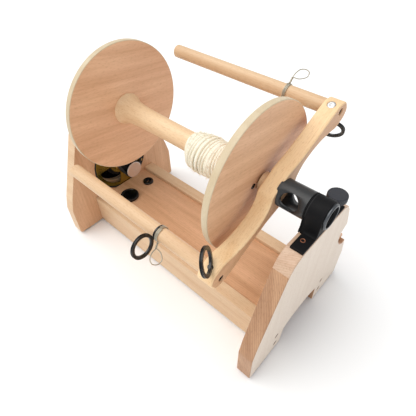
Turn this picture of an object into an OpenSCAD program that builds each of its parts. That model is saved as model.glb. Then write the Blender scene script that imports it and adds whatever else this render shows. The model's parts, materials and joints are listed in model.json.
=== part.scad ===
// Electric yarn spinner: a driven bobbin inside a free flyer on a wooden stand.
// Millimetres. +Z up, the orifice faces -Y, the spindle runs along Y.

/* [Stand] */
// height of the spindle above the table
spindle_h = 240; // [220:1:260]
// thickness of the two end boards
board_t = 20; // [16:1:26]
// half width of the end boards at their feet
foot_half = 123; // [100:1:140]
// height of the end boards above their feet
board_h = 213; // [190:1:225]
// height of the rubber feet
foot_h = 3; // [2:0.5:6]
// outer face of the side rails, from the middle
rail_out = 71; // [60:1:90]
// thickness of the side rails
rail_t = 20; // [16:1:24]
// height of the side rails
rail_h = 58; // [45:1:70]
// how far the floor lies below the rail tops
floor_drop = 6; // [3:1:12]
// thickness of the floor panel
floor_t = 9; // [6:1:12]

/* [Flyer] */
// lean of the flyer arms at rest, in degrees
flyer_angle = 26.2; // [0:0.1:90]
// distance of each arm from the spindle
arm_r = 124.8; // [115:0.1:130]
// radius of the flyer arms
arm_rad = 9.7; // [8:0.1:11]
// where the flyer arms end, behind the front bobbin disc
arm_end = 260; // [220:1:270]
// width of the yoke, along the spindle
yoke_w = 22; // [18:1:26]
// gap between the yoke and the front bobbin disc
yoke_gap = 10; // [8:1:14]
// outer radius of the orifice tube
tube_r = 18; // [15:0.5:20]
// bore radius of the orifice tube
orifice_r = 13.5; // [10:0.5:15]
// outer radius of the yarn rings
ring_r = 20; // [16:0.5:22]
// radius of the hook wire
wire_r = 0.8; // [0.6:0.1:1.2]

/* [Bobbin] */
// radius of the bobbin discs
disc_r = 100; // [80:1:105]
// thickness of the bobbin discs
disc_t = 9; // [6:1:12]
// front face of the front disc to front face of the rear disc
bobbin_len = 257.7; // [200:0.1:260]
// radius of the bobbin core at its waist
core_r = 14.6; // [12:0.1:20]
// radius of the steel spindle
spindle_r = 5; // [4:0.5:6]
// radius of the drive whorl behind the rear disc
whorl_r = 75; // [60:1:80]

/* [Drive] */
// height of the motor shaft above the table
motor_h = 107; // [95:1:120]
// radius of the motor plate
plate_r = 54.5; // [48:1:58]
// radius of the motor pulley
pulley_r = 16.5; // [12:0.5:20]
// radius of the round belt
belt_r = 2.2; // [1.5:0.1:3]

/* [Hidden] */
$fn = 96;
play = 0.06;            // radial running clearance
gap = 0.3;              // clearance between neighbouring bodies
centre_x = 8.25;           // middle of the bounding box, from the spindle
centre_y = 136.81;         // middle of the bounding box, from the front disc
front_y = -90;          // front face of the front board
back_y = 315.5;         // front face of the rear board
rail_y0 = front_y + board_t;
rail_len = back_y - rail_y0;
rail_in = rail_out - rail_t;
rail_z = foot_h + 0.5;
rail_top = foot_h + rail_h;
floor_top = rail_top - floor_drop;
top_z = foot_h + board_h;
yoke_back = -yoke_gap;
yoke_front = yoke_back - yoke_w;
rear_disc = bobbin_len;
whorl_y = rear_disc + disc_t;
belt_y = whorl_y + 14.5;
belt_big = whorl_r - 1.6;
belt_small = pulley_r - 1.6;
belt_tilt = asin((belt_big - belt_small) / (spindle_h - motor_h));
house_y0 = -95.5;
house_y1 = -69;
house_r = 18.2;
journal_r = 15.8;
liner_r = 17.6;
plate_y = back_y + 1;
can_y = back_y + 3;
can_r = 30;
bell_y = can_y + 42;
cover_y = back_y + board_t;
cover_r = 48;
cover_len = 38;
knob_at = [34.5, -83];
screw_at = [-32, -81];
speed_at = [-22.6, 274];
inlet_at = [29, 280];
ring_u = 120;
ring_y = -21;
ring_w = -38.6;
hook_hi_y = 46;
hook_lo_y = 69;
ring_at = [-147, 80, -3];

// ---------------------------------------------------------------- helpers

function unit(v) = v / norm(v);

// arc that rounds the corner at b of the path a-b-c
function fillet(a, b, c, r, n = 5) =
    let (u = unit(a - b), v = unit(c - b))
    let (half = acos(u * v) / 2)
    let (o = b + unit(u + v) * r / sin(half))
    let (s = b + u * r / tan(half) - o, e = b + v * r / tan(half) - o)
    let (a0 = atan2(s.y, s.x), turn = atan2(e.y, e.x) - a0)
    let (sweep = turn > 180 ? turn - 360 : turn < -180 ? turn + 360 : turn)
    [for (i = [0 : n]) o + r * [cos(a0 + sweep * i / n), sin(a0 + sweep * i / n)]];

// closed outline with every corner rounded by its own radius
function rounded(p, r) =
    let (n = len(p))
    [for (i = [0 : n - 1])
        each r[i] == 0 ? [p[i]] : fillet(p[(i + n - 1) % n], p[i], p[(i + 1) % n], r[i])];

function mirrored(p) = concat(p, [for (i = [len(p) - 1 : -1 : 0]) [-p[i].x, p[i].y]]);

// an XZ outline made solid from y0 over a depth t
module slab(y0, t) {
    translate([0, y0 + t, 0]) rotate([90, 0, 0]) linear_extrude(t) children();
}

// a cylinder along Y, starting at y0
module rod(y0, len, r) {
    translate([0, y0, 0]) rotate([-90, 0, 0]) cylinder(h = len, r = r);
}

// a hollow cylinder along Y
module sleeve(y0, len, r, bore) {
    difference() {
        rod(y0, len, r);
        rod(y0 - 1, len + 2, bore);
    }
}

// a profile of [radius, y] turned about the Y axis
module turned(profile) {
    rotate([-90, 0, 0]) rotate_extrude() polygon(profile);
}

// the frame of the spindle
module on_spindle() {
    translate([0, 0, spindle_h]) children();
}

// the frame of the leaning flyer: X along the arms, Z across them
module on_flyer() {
    on_spindle() rotate([0, -flyer_angle, 0]) children();
}

module on_motor() {
    translate([0, 0, motor_h]) children();
}

module on_plate_screws() {
    on_motor() for (a = [-27.6, 152.4]) rotate([0, -a, 0]) translate([50.5, 0, 0]) children();
}

module on_motor_screws() {
    on_motor() for (a = [30, 210]) rotate([0, -a, 0]) translate([14, 0, 0]) children();
}

module on_cover_ears() {
    on_motor() for (a = [90, 200, 340]) rotate([0, -a, 0]) translate([cover_r + 6, 0, 0]) children();
}

module both_arms() {
    children();
    rotate([0, 180, 0]) children();
}

// a bar in an XZ plane at y, from a to b
module bar(y, a, b, r) {
    translate([a.x, y, a.y])
        rotate([0, 90 - atan2(b.y - a.y, b.x - a.x), 0]) cylinder(h = norm(b - a), r = r);
}

module countersunk(r, head_r, len) {
    cylinder(h = 2.2, r1 = head_r, r2 = r);
    cylinder(h = len, r = r);
}

// ------------------------------------------------------------------ stand

board_side = [
    [46, 0], [foot_half, 0], [foot_half, 62], [foot_half - 5, 92],
    [72, 193], [62, 206.5], [48, board_h]
];
board_side_r = [0, 4, 30, 30, 20, 12, 12];
cut_side = [[0, 44.3], [18, 43], [34, 39.4], [43, 36], [46.5, -1]];

module board_outline() {
    translate([0, foot_h]) difference() {
        polygon(rounded(
            mirrored(board_side),
            concat(board_side_r, [for (i = [6 : -1 : 0]) board_side_r[i]])
        ));
        polygon(mirrored(cut_side));
    }
}

module rail_screw_holes(y0, head_y, dir) {
    for (x = [-61, 61], z = [16, 39])
        translate([x, head_y, foot_h + z])
            rotate([-90 * dir, 0, 0]) countersunk(2.05, 4.3, y0);
}

rest_notch = [[76, 134], [90, 158], [112, 132], [126, 96], [106, 92], [86, 108], [76.5, 121]];

module front_board() {
    color("burlywood") difference() {
        slab(front_y, board_t) board_outline();
        slab(front_y - 1, board_t + 2)
            translate([0, foot_h]) polygon(rest_notch);
        rail_screw_holes(board_t + 1, front_y - 0.01, 1);
        translate([screw_at.x, screw_at.y, top_z - 30]) cylinder(h = 31, r = 2.05);
        translate([knob_at.x, knob_at.y, top_z - 26]) cylinder(h = 27, r = 3.05);
    }
}

module rear_board() {
    color("burlywood") difference() {
        slab(back_y, board_t) board_outline();
        rail_screw_holes(board_t + 1, back_y + board_t + 0.01, -1);
        on_motor() {
            rod(back_y - 1, 12, plate_r + 3);
            rod(back_y - 1, board_t + 2, 46);
        }
        on_plate_screws() rod(back_y + 5, 13, 1.55);
        for (x = [-24, 24])
            translate([x, back_y + board_t / 2, top_z - 28]) cylinder(h = 29, r = 2.05);
        on_cover_ears() rod(cover_y - 8, 9, 1.55);
    }
}

module rail(side) {
    difference() {
        translate([side > 0 ? rail_in : -rail_out, rail_y0, rail_z])
            cube([rail_t, rail_len, rail_top - rail_z]);
        for (z = [16, 39], y = [rail_y0 - 1, back_y - 25])
            translate([side * 61, y, foot_h + z]) rotate([-90, 0, 0]) cylinder(h = 26, r = 2.05);
    }
}

module left_rail() {
    color("wheat") rail(-1);
}

module right_rail() {
    color("wheat") rail(1);
}

module floor_panel() {
    color("peru") difference() {
        translate([-rail_in, rail_y0, floor_top - floor_t])
            cube([2 * rail_in, rail_len, floor_t]);
        translate([speed_at.x, speed_at.y, 0]) cylinder(h = 100, r = 3.65);
        translate([inlet_at.x, inlet_at.y, 0]) cylinder(h = 100, r = 6.05);
        for (x = [-36, 36], y = [224, 302])
            translate([x, y, floor_top - floor_t - 1]) cylinder(h = 6, r = 1.55);
    }
}

module rubber_feet() {
    color("black")
        for (x = [-108, 108, -62, 62], y = [front_y + board_t / 2, back_y + board_t / 2])
            translate([x, y, 0]) cylinder(h = foot_h, r1 = 7, r2 = 8);
}

// eight countersunk screws, two into each end of both rails
module rail_screws() {
    color("dimgray")
        for (x = [-61, 61], z = [16, 39]) {
            translate([x, front_y, foot_h + z]) rotate([-90, 0, 0]) countersunk(2, 4.2, 44);
            translate([x, back_y + board_t, foot_h + z])
                rotate([90, 0, 0]) countersunk(2, 4.2, 44);
        }
}

// forked wooden rest for the threading hook, let into the right edge
rest_upper = [[77.2, 132.5], [87, 150], [111, 125], [103, 119], [84, 134]];
rest_lower = [[77, 122], [77.5, 130], [109, 106.5], [115, 97.5], [105, 95], [87, 109]];

module hook_rest() {
    color("sienna") translate([0, 0, foot_h]) {
        slab(front_y + 4, 12) polygon(rest_upper);
        slab(front_y + 4, 12) polygon(rest_lower);
        slab(front_y + 12, 4) polygon([[76.7, 124], [77, 132], [90, 134], [92, 118]]);
    }
}

// --------------------------------------------------- front bearing, brake

house_side = [[18.1, 240], [19.5, 222], [20.5, 219.5], [48, 219.5], [48, top_z + 0.02]];

module bearing_housing() {
    color([0.1, 0.1, 0.11]) difference() {
        union() {
            slab(house_y0, house_y1 - house_y0) polygon(mirrored(house_side));
            on_spindle() rod(house_y0, house_y1 - house_y0, house_r);
        }
        on_spindle() rod(house_y0 - 1, 40, liner_r + 0.02 - 1.0);
        translate([screw_at.x, screw_at.y, top_z]) cylinder(h = 9, r = 2.05);
        translate([screw_at.x, screw_at.y, 218]) cylinder(h = 9, r = 4.2);
        translate([knob_at.x, knob_at.y, top_z]) cylinder(h = 9, r = 3.05);
        translate([5, house_y0 - 1, spindle_h + 14])
            rotate([0, 30, 0]) cube([1.2, 60, 20]);
        on_spindle() sleeve(-78.6, 1.2, 20, 17.7);
        translate([-60, house_y0 - 1, 210]) cube([120, 5.5, 20]);
    }
}

module housing_screw() {
    color([0.6, 0.35, 0.22]) translate([screw_at.x, screw_at.y, 0]) difference() {
        union() {
            translate([0, 0, top_z - 22]) cylinder(h = 24.05, r = 2);
            translate([0, 0, 218.02]) cylinder(h = 1.9, r = 4);
        }
        translate([0, 0, 218.6]) cylinder(h = 3, r = 2);
    }
}

// split brake shoe between the housing and the tube
module brake_liner() {
    color([0.16, 0.16, 0.17]) on_spindle() difference() {
        sleeve(house_y0 + 0.5, 25.5, liner_r - 1.0, journal_r + play);
        translate([0, house_y0 - 1, 0]) rotate([0, -60, 0]) cube([30, 40, 1.6]);
    }
}

module tension_stud() {
    color("silver") translate([knob_at.x, knob_at.y, 0]) {
        translate([0, 0, top_z - 24]) cylinder(h = 48, r = 3);
    }
}

module tension_spring() {
    color("gray") translate([knob_at.x, knob_at.y, 0])
        for (i = [0 : 3])
            translate([0, 0, 220.6 + 2.0 * i])
                rotate_extrude() translate([4.4, 0]) circle(r = 0.8, $fn = 24);
}

module tension_knob() {
    color([0.12, 0.12, 0.13]) translate([knob_at.x, knob_at.y, 0]) difference() {
        union() {
            translate([0, 0, 228]) cylinder(h = 7, r = 6.5);
            translate([0, 0, 234]) cylinder(h = 9, r = 13);
            translate([0, 0, 243]) cylinder(h = 1, r1 = 13, r2 = 12);
        }
        translate([0, 0, 227]) cylinder(h = 14, r = 3 + play);
        for (a = [0 : 30 : 330])
            rotate([0, 0, a]) translate([14.4, 0, 233]) cylinder(h = 12, r = 2);
    }
}

// ------------------------------------------------------------------ flyer

module orifice_tube() {
    color([0.13, 0.13, 0.14]) on_spindle() difference() {
        union() {
            rod(-68.5, 68.5 + yoke_front + 3, tube_r);
            rod(house_y0 + 0.2, 30, journal_r);
        }
        rod(house_y0 - 1, 66, orifice_r);
        rotate([0, -flyer_angle - 140.8, 0]) translate([0, -48.7, 0])
            rotate([0, 90, 0]) translate([0, 0, -30]) cylinder(h = 60, r = 12.2);
    }
}

module orifice_collar() {
    color([0.3, 0.31, 0.33]) on_spindle() difference() {
        turned([
            [orifice_r, house_y0 - 4.4], [orifice_r + 1.6, house_y0 - 4.4],
            [16.6, house_y0 - 1.4], [16.6, house_y0 - 0.4], [15, house_y0 - 0.4],
            [15, house_y0 + 0.15], [orifice_r, house_y0 + 0.15]
        ]);
    }
}

yoke_half = [
    [16, 18], [40, 13.5], [72, 12.5], [104, 13], [126, 11.8], [139, 4], [140, -11],
    [131, -19], [112, -18.5], [96, -10], [80, -3.5], [62, 0], [44, 0.5], [28, -5], [18, -16]
];
yoke_half_r = [14, 60, 90, 60, 20, 9, 9, 12, 20, 40, 40, 40, 30, 25, 8];

module yoke() {
    color("burlywood") on_flyer() difference() {
        union() {
            slab(yoke_front, yoke_w) polygon(rounded(
                concat(yoke_half, [for (p = yoke_half) -p]),
                concat(yoke_half_r, yoke_half_r)
            ));
            rod(yoke_front, yoke_w, 22.5);
        }
        both_arms() {
            translate([arm_r, 0, 0]) {
                rod(yoke_back - 5.2, 7, arm_rad + 0.02);
                rod(yoke_front - 1, yoke_w, 2.05);
                rod(yoke_front - 1, 6, 4.05);
            }
            translate([ring_u, ring_y, 0]) {
                translate([0, 0, -30]) cylinder(h = 50, r = 2.05);
                translate([0, 0, 9.4]) cylinder(h = 12, r = 5.6);
                translate([0, 0, -24]) cylinder(h = 10, r = 3.55);
            }
        }
        rod(yoke_front - 1, 4.02, tube_r + 0.02);
        rod(yoke_front, 30, spindle_r + 0.02);
    }
}

module flyer_arm(side) {
    translate([side * arm_r, 0, 0]) difference() {
        union() {
            rod(yoke_back - 5, arm_end - 1.5 - yoke_back + 5, arm_rad);
            translate([0, arm_end - 1.5, 0]) rotate([-90, 0, 0])
                cylinder(h = 1.5, r1 = arm_rad, r2 = arm_rad - 1.5);
        }
        rod(yoke_back - 6, 23, 2.05);
    }
}

module arm_upper() {
    color("burlywood") on_flyer() flyer_arm(1);
}

module arm_lower() {
    color("burlywood") on_flyer() flyer_arm(-1);
}

// black socket screws that hold the arms, from the front of the yoke
module arm_screws() {
    color([0.05, 0.05, 0.05]) on_flyer() both_arms()
        translate([arm_r, 0, 0]) difference() {
            union() {
                rod(yoke_front + 1.5, 3.4, 4);
                rod(yoke_front + 2, 36, 2);
            }
            rod(yoke_front + 1, 3, 1.8);
        }
}

// bright screws that hold the yarn rings, from the far side of each arm
module ring_screws() {
    color("gainsboro") on_flyer() both_arms()
        translate([ring_u, ring_y, 0]) {
            translate([0, 0, 9.45]) cylinder(h = 2, r = 5.4);
            translate([0, 0, -18.2]) cylinder(h = 28, r = 2);
        }
}

// a grooved ring in the plane of X and Z
module grooved_ring() {
    turned([
        [14.6, -2.2], [15.4, -3], [ring_r, -3], [ring_r, -1.2], [ring_r - 1.2, -0.6],
        [ring_r - 1.2, 0.6], [ring_r, 1.2], [ring_r, 3], [15.4, 3], [14.6, 2.2]
    ]);
}

module yoke_rings() {
    color([0.05, 0.05, 0.06]) on_flyer() both_arms()
        translate([ring_u, ring_y, 0]) difference() {
            union() {
                translate([0, 0, ring_w]) rotate([0, 0, -39]) grooved_ring();
                translate([0, 0, -22]) cylinder(h = 7.5, r = 3.5);
            }
            translate([0, 0, ring_w]) rotate([0, 0, -39]) rod(-9, 18, 14.6);
            translate([0, 0, -18.4]) cylinder(h = 5, r = 2.02);
        }
}

module spindle() {
    color("silver") on_spindle() {
        rod(yoke_front + 3.1, 339.5 - yoke_front - 3.1, spindle_r);
    }
}

module spindle_spacer() {
    color("burlywood") on_spindle() sleeve(yoke_back, yoke_gap - 2, 13, spindle_r + 0.02);
}

// set collars on each side of the rear bearing
module spindle_collars() {
    color("dimgray") on_spindle() {
        sleeve(310.5, 5, 8.5, spindle_r + 0.02);
        sleeve(335, 2.5, 8, spindle_r + 0.02);
    }
}

// spring-wire coil that grips an arm
module arm_coil(side, y) {
    bumps = [for (i = [0 : 3], a = [-72 : 36 : 72])
        [arm_rad + play + wire_r * (1 + cos(a)), wire_r * (2 * i - 3 + sin(a))]];
    translate([side * arm_r, y, 0])
        turned(concat([[arm_rad + play, -3 * wire_r]], bumps, [[arm_rad + play, 3 * wire_r]]));
}

// teardrop of wire from its tip, opening along +X in the plane of X and Z
module wire_loop(len, r) {
    tip = asin(r / (len - r));
    run = (len - r) * cos(tip);
    translate([len - r, 0, 0]) rotate([90, 0, 0])
        rotate([0, 0, -90 - tip]) rotate_extrude(angle = 180 + 2 * tip)
            translate([r, 0]) circle(r = wire_r, $fn = 24);
    for (s = [-1, 1])
        rotate([0, 90 + s * tip, 0]) cylinder(h = run + 0.3, r = wire_r - 0.02, $fn = 24);
}

module hook_upper() {
    color("gray") on_flyer() {
        arm_coil(1, hook_hi_y);
        bar(hook_hi_y, [131.4, 8.6], [141, 11.4], 1.2);
        translate([140.4, hook_hi_y, 11.2]) rotate([0, 42, 0]) wire_loop(47, 6);
    }
}

module hook_lower() {
    color("gray") on_flyer() {
        arm_coil(-1, hook_lo_y);
        bar(hook_lo_y, [-134.6, -4.2], [-144.2, -10.2], 1.2);
        translate([-143.8, hook_lo_y, -9.8]) rotate([0, 109.5, 0]) wire_loop(35, 8.6);
    }
}

// grooved ring carried beside the lower hook
module hook_ring() {
    color([0.05, 0.05, 0.06]) on_flyer() difference() {
        union() {
            translate(ring_at) rotate([15, 0, 0]) grooved_ring();
            translate([-arm_r, 0, 0]) sleeve(76.2, 7, arm_rad + 3, arm_rad + play);
        }
        translate([-arm_r, 0, 0]) rod(60, 40, arm_rad + play);
    }
}

// ----------------------------------------------------------------- bobbin

function core_at(d) = core_r + 8 * exp(-d / 10) + 3.4 * exp(-d / 50);

module bobbin_core() {
    span = rear_disc - disc_t;
    steps = [for (i = [0 : 15]) let (d = 100 * pow(i / 15, 2)) d];
    color("burlywood") on_spindle() difference() {
        turned(concat(
            [[0, disc_t]],
            [for (d = steps) [core_at(d), disc_t + d]],
            [for (i = [15 : -1 : 0]) [core_at(steps[i]), disc_t + span - steps[i]]],
            [[0, rear_disc]]
        ));
        rod(disc_t - 1, span + 2, 8.02);
        for (a = [0 : 90 : 270]) rotate([0, -a - 35, 0]) translate([16.5, 0, 0]) {
            rod(disc_t - 1, 16, 1.55);
            rod(rear_disc - 15, 16, 1.55);
        }
    }
}

module bobbin_disc(y) {
    difference() {
        union() {
            rod(y + 0.8, disc_t - 1.6, disc_r);
            rod(y, disc_t, disc_r - 0.8);
        }
        rod(y - 1, disc_t + 2, 8.02);
        for (a = [0 : 90 : 270])
            rotate([0, -a - 35, 0]) translate([16.5, 0, 0]) rod(y - 1, disc_t + 2, 1.55);
    }
}

module disc_front() {
    color("peru") on_spindle() difference() {
        bobbin_disc(0);
        for (a = [0 : 90 : 270])
            rotate([0, -a - 35, 0]) translate([16.5, 0, 0]) rod(-1, 4.2, 3.05);
    }
}

module disc_rear() {
    color("peru") on_spindle() difference() {
        bobbin_disc(rear_disc);
        for (a = [0 : 90 : 270])
            rotate([0, -a - 35, 0]) translate([16.5, 0, 0]) rod(whorl_y - 3.2, 4, 3.05);
    }
}

module disc_screws() {
    color([0.05, 0.05, 0.05]) on_spindle()
        for (a = [0 : 90 : 270]) rotate([0, -a - 35, 0]) translate([16.5, 0, 0]) {
            rod(0.4, 2.8, 3);
            rod(1, 20, 1.5);
            rod(whorl_y - 3.2, 2.8, 3);
            rod(whorl_y - 22, 20, 1.5);
        }
}

module bobbin_bushes() {
    color("goldenrod") on_spindle() {
        sleeve(0.2, 22, 8, spindle_r + play);
        sleeve(whorl_y - 22.2, 22, 8, spindle_r + play);
    }
}

module whorl() {
    color("peru") on_spindle() difference() {
        turned([
            [spindle_r + 3.5, whorl_y], [whorl_r - 1, whorl_y], [whorl_r, whorl_y + 1],
            [whorl_r, belt_y - 4.4], [whorl_r - 4.2, belt_y - 1.2], [whorl_r - 4.2, belt_y + 1.2],
            [whorl_r, belt_y + 4.4], [whorl_r, belt_y + 5.5], [whorl_r - 1, belt_y + 6.5],
            [spindle_r + 3.5, belt_y + 6.5]
        ]);
    }
}

// loosely wound yarn, sagging below the core
module yarn() {
    color("ivory") on_spindle() difference() {
        translate([0, 0, -6.5]) turned([
            [8, 50], [17, 50], [21.5, 55], [23, 64], [22.6, 73], [24.4, 82], [26, 92],
            [25.6, 102], [23.5, 110], [19.5, 116], [8, 118]
        ]);
        rod(40, 90, core_r + 2.2);
    }
}

// ------------------------------------------------------------ rear bearing

module rear_bracket() {
    color([0.1, 0.1, 0.11]) difference() {
        union() {
            slab(back_y + 1, board_t - 2)
                polygon(mirrored([[16.8, 240], [17, 221], [34, 221], [34, top_z + 0.02]]));
            on_spindle() rod(back_y + 1, board_t - 2, 17);
        }
        on_spindle() rod(back_y - 1, 30, 11.02);
        for (x = [-24, 24])
            translate([x, back_y + board_t / 2, top_z]) cylinder(h = 20, r = 2.05);
    }
}

module rear_bearing() {
    color("silver") on_spindle() sleeve(back_y + 5, 10, 11, spindle_r + play);
}

module bracket_screws() {
    color("dimgray") for (x = [-24, 24])
        translate([x, back_y + board_t / 2, 0]) {
            translate([0, 0, top_z - 24]) cylinder(h = 30, r = 2);
            translate([0, 0, 221.05]) cylinder(h = 2.6, r = 4);
        }
}

// ------------------------------------------------------------------ drive

module belt_arc(r, a0, sweep) {
    rotate([90, 0, 0]) rotate([0, 0, a0]) rotate_extrude(angle = sweep)
        translate([r, 0]) circle(r = belt_r, $fn = 32);
}

module belt() {
    run = (spindle_h - motor_h) * cos(belt_tilt);
    lap = 0.3;
    color([0.05, 0.05, 0.05]) translate([0, belt_y, 0]) {
        on_spindle() belt_arc(belt_big, -belt_tilt, 180 + 2 * belt_tilt);
        on_motor() belt_arc(belt_small, 180 + belt_tilt, 180 - 2 * belt_tilt);
        for (s = [-1, 1])
            translate([s * belt_small * cos(belt_tilt), 0, motor_h - belt_small * sin(belt_tilt)])
                rotate([0, s * belt_tilt, 0])
                    translate([0, 0, -lap]) cylinder(h = run + 2 * lap, r = belt_r - 0.02, $fn = 32);
    }
}

// zinc-plated dish that carries the motor, with three windows
module motor_plate() {
    color([0.62, 0.55, 0.2]) difference() {
        on_motor() union() {
            rod(plate_y, 1.5, plate_r);
            sleeve(plate_y, 9.8, plate_r, plate_r - 1.5);
            rod(plate_y - 2.5, 3, 19);
        }
        on_motor() rod(plate_y - 4, 9, 9.5);
        on_motor() for (a = [-175, -55, 62])
            rotate([0, -a, 0]) slab(plate_y - 2, 5)
                polygon(concat(
                    [for (i = [0 : 8]) 47 * [cos(i * 9), sin(i * 9)]],
                    [for (i = [8 : -1 : 0]) 24 * [cos(i * 9), sin(i * 9)]]
                ));
        on_plate_screws() rod(plate_y - 2, 5, 1.65);
        on_motor_screws() rod(plate_y - 4, 8, 1.55);
    }
}

module plate_gasket() {
    color([0.05, 0.05, 0.05]) on_motor() sleeve(back_y + 0.02, 10.8, plate_r + 2.9, plate_r + 0.1);
}

// two screws hold the plate to the board and two hold the motor to the plate
module plate_screws() {
    color("gold") on_plate_screws() {
        rod(plate_y - 2.4, 2.35, 3.2);
        rod(plate_y - 1, 17, 1.5);
    }
    color("gold") on_motor_screws() {
        rod(plate_y - 4.3, 1.75, 2.7);
        rod(plate_y - 3, 8, 1.5);
    }
}

module motor_can() {
    color([0.14, 0.14, 0.15]) difference() {
        on_motor() union() {
            rod(can_y, bell_y - can_y, can_r);
            rod(plate_y - 2.2, 6, 9);
        }
        on_motor() rod(can_y + 3, 60, can_r - 2.5);
        on_motor() rod(back_y - 2, 80, 3.6);
        on_motor_screws() rod(can_y - 1, 5, 1.55);
    }
}

module motor_magnets() {
    color([0.25, 0.25, 0.27]) on_motor() difference() {
        sleeve(can_y + 6, 33, can_r - 2.7, can_r - 7);
        for (a = [0, 180])
            rotate([0, a, 0]) slab(can_y, 50) polygon([[0, 0], [40, 20], [40, -20]]);
    }
}

// slotted lamination stack and its commutator, on the motor shaft
module motor_armature() {
    color([0.55, 0.4, 0.3]) on_motor() difference() {
        union() {
            rod(can_y + 8, 28, can_r - 7.8);
            rod(can_y + 35, 6, 7);
        }
        rod(can_y + 7, 40, 3.57);
        for (a = [0 : 60 : 300])
            rotate([0, a, 0]) translate([11, can_y + 7, -2]) cube([20, 30, 4]);
    }
}

module motor_end_bell() {
    color([0.1, 0.1, 0.1]) on_motor() difference() {
        union() {
            rod(bell_y + 0.05, 3, can_r);
            rod(bell_y + 2, 4.1, 8);
        }
        rod(bell_y - 1, 6.1, 3.6);
    }
}

module motor_terminals() {
    color("gold") on_motor() for (s = [-1, 1])
        translate([s * 8 - 2.5, bell_y + 3.1, -20.5]) cube([5, 6.4, 1]);
}

module motor_shaft() {
    color("silver") on_motor() rod(belt_y - 3.7, bell_y + 4.8 - belt_y + 3.7, 3.55);
}

module motor_pulley() {
    color([0.1, 0.1, 0.11]) on_motor() difference() {
        turned([
            [3.57, belt_y - 4.8], [pulley_r, belt_y - 4.8], [pulley_r, belt_y - 4.2],
            [pulley_r - 4.2, belt_y - 1.2], [pulley_r - 4.2, belt_y + 1.2],
            [pulley_r, belt_y + 4.2], [pulley_r, belt_y + 20], [10, belt_y + 22],
            [10, back_y - 2.6], [3.57, back_y - 2.6]
        ]);
    }
}

module pulley_cap() {
    color([0.8, 0.78, 0.75]) on_motor() rod(belt_y - 6.7, 1.85, pulley_r - 0.9);
}

module rear_cover() {
    color([0.12, 0.12, 0.13]) difference() {
        union() {
            on_motor() rod(cover_y + 0.02, cover_len, cover_r);
            on_cover_ears() {
                rod(cover_y + 0.02, 3, 7);
                translate([-10, cover_y + 0.02, -7]) cube([10, 3, 14]);
            }
        }
        on_motor() rod(cover_y - 1, cover_len - 1.5, cover_r - 2.5);
        on_cover_ears() rod(cover_y - 1, 6, 1.65);
        on_motor() for (x = [-27 : 9 : 27])
            translate([x - 1.5, cover_y + cover_len - 6, -22]) cube([3, 12, 44]);
        for (x = [-8, 8])
            translate([x, bell_y + 7.5, motor_h - cover_r - 3]) cylinder(h = 12, r = 2);
    }
}

module cover_screws() {
    color("dimgray") on_cover_ears() {
        rod(cover_y + 3.1, 2, 3.2);
        rod(cover_y - 7.5, 11, 1.5);
    }
}

// ------------------------------------------------------------ electronics

case_z = 9;
lead_z = 40;

module control_case() {
    color([0.13, 0.13, 0.14]) difference() {
        translate([-46, 216, case_z]) cube([92, 94, floor_top - floor_t - case_z - 0.1]);
        translate([-44, 218, case_z + 2]) cube([88, 90, 60]);
        for (x = [-8, 8]) translate([x, 0, lead_z]) rod(300, 20, 1.6);
    }
}

module circuit_board() {
    color("darkgreen") difference() {
        union() {
            translate([-40, 221, case_z + 9]) cube([80, 84, 1.6]);
            translate([-30, 235, case_z + 10.6]) cube([24, 14, 9]);
            translate([6, 236, case_z + 10.6]) cylinder(h = 14, r = 6);
        }
        for (x = [-36, 36], y = [224, 302])
            translate([x, y, case_z + 8]) cylinder(h = 4, r = 1.65);
    }
}

module board_posts() {
    color("goldenrod") for (x = [-36, 36], y = [224, 302]) translate([x, y, 0]) {
        translate([0, 0, case_z + 10.65]) cylinder(h = floor_top - floor_t - case_z - 10.75, r = 2.8);
        translate([0, 0, case_z + 6]) cylinder(h = 35.5, r = 1.5);
        translate([0, 0, case_z + 6.4]) cylinder(h = 2.55, r = 3);
    }
}

module speed_control() {
    color("silver") translate([speed_at.x, speed_at.y, 0]) {
        translate([0, 0, floor_top - floor_t - 11.1]) cylinder(h = 11, r = 8.5);
        translate([0, 0, floor_top - floor_t - 1]) cylinder(h = floor_t - 1, r = 3.6);
        translate([0, 0, floor_top - 3]) cylinder(h = 8, r = 3);
    }
}

module speed_knob() {
    color([0.03, 0.03, 0.03]) translate([speed_at.x, speed_at.y, floor_top]) difference() {
        union() {
            translate([0, 0, 0.6]) cylinder(h = 7.4, r = 16);
            translate([0, 0, 8]) cylinder(h = 1, r1 = 16, r2 = 15);
        }
        translate([0, 0, -1]) cylinder(h = 7.5, r = 3 + play);
        for (a = [0 : 20 : 340])
            rotate([0, 0, a]) translate([16.9, 0, -1]) cylinder(h = 12, r = 1.4, $fn = 24);
    }
}

module power_inlet() {
    color([0.08, 0.08, 0.08]) translate([inlet_at.x, inlet_at.y, 0]) difference() {
        union() {
            translate([0, 0, floor_top - floor_t - 2.2]) cylinder(h = 2, r = 8.5);
            translate([0, 0, floor_top - floor_t - 2]) cylinder(h = floor_t + 4.4, r = 6);
            translate([0, 0, floor_top - floor_t - 13]) cylinder(h = 12, r = 5.2);
        }
        difference() {
            translate([0, 0, floor_top - 8]) cylinder(h = 12, r = 2.8);
            translate([0, 0, floor_top - 9]) cylinder(h = 9.4, r = 1.05);
        }
    }
}

module inlet_nut() {
    color([0.05, 0.05, 0.05]) translate([inlet_at.x, inlet_at.y, floor_top]) difference() {
        union() {
            translate([0, 0, 0.05]) cylinder(h = 1.6, r = 9);
            translate([0, 0, 1.65]) cylinder(h = 0.9, r1 = 9, r2 = 7.8);
        }
        translate([0, 0, -1]) cylinder(h = 5, r = 6.02);
    }
}

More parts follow.
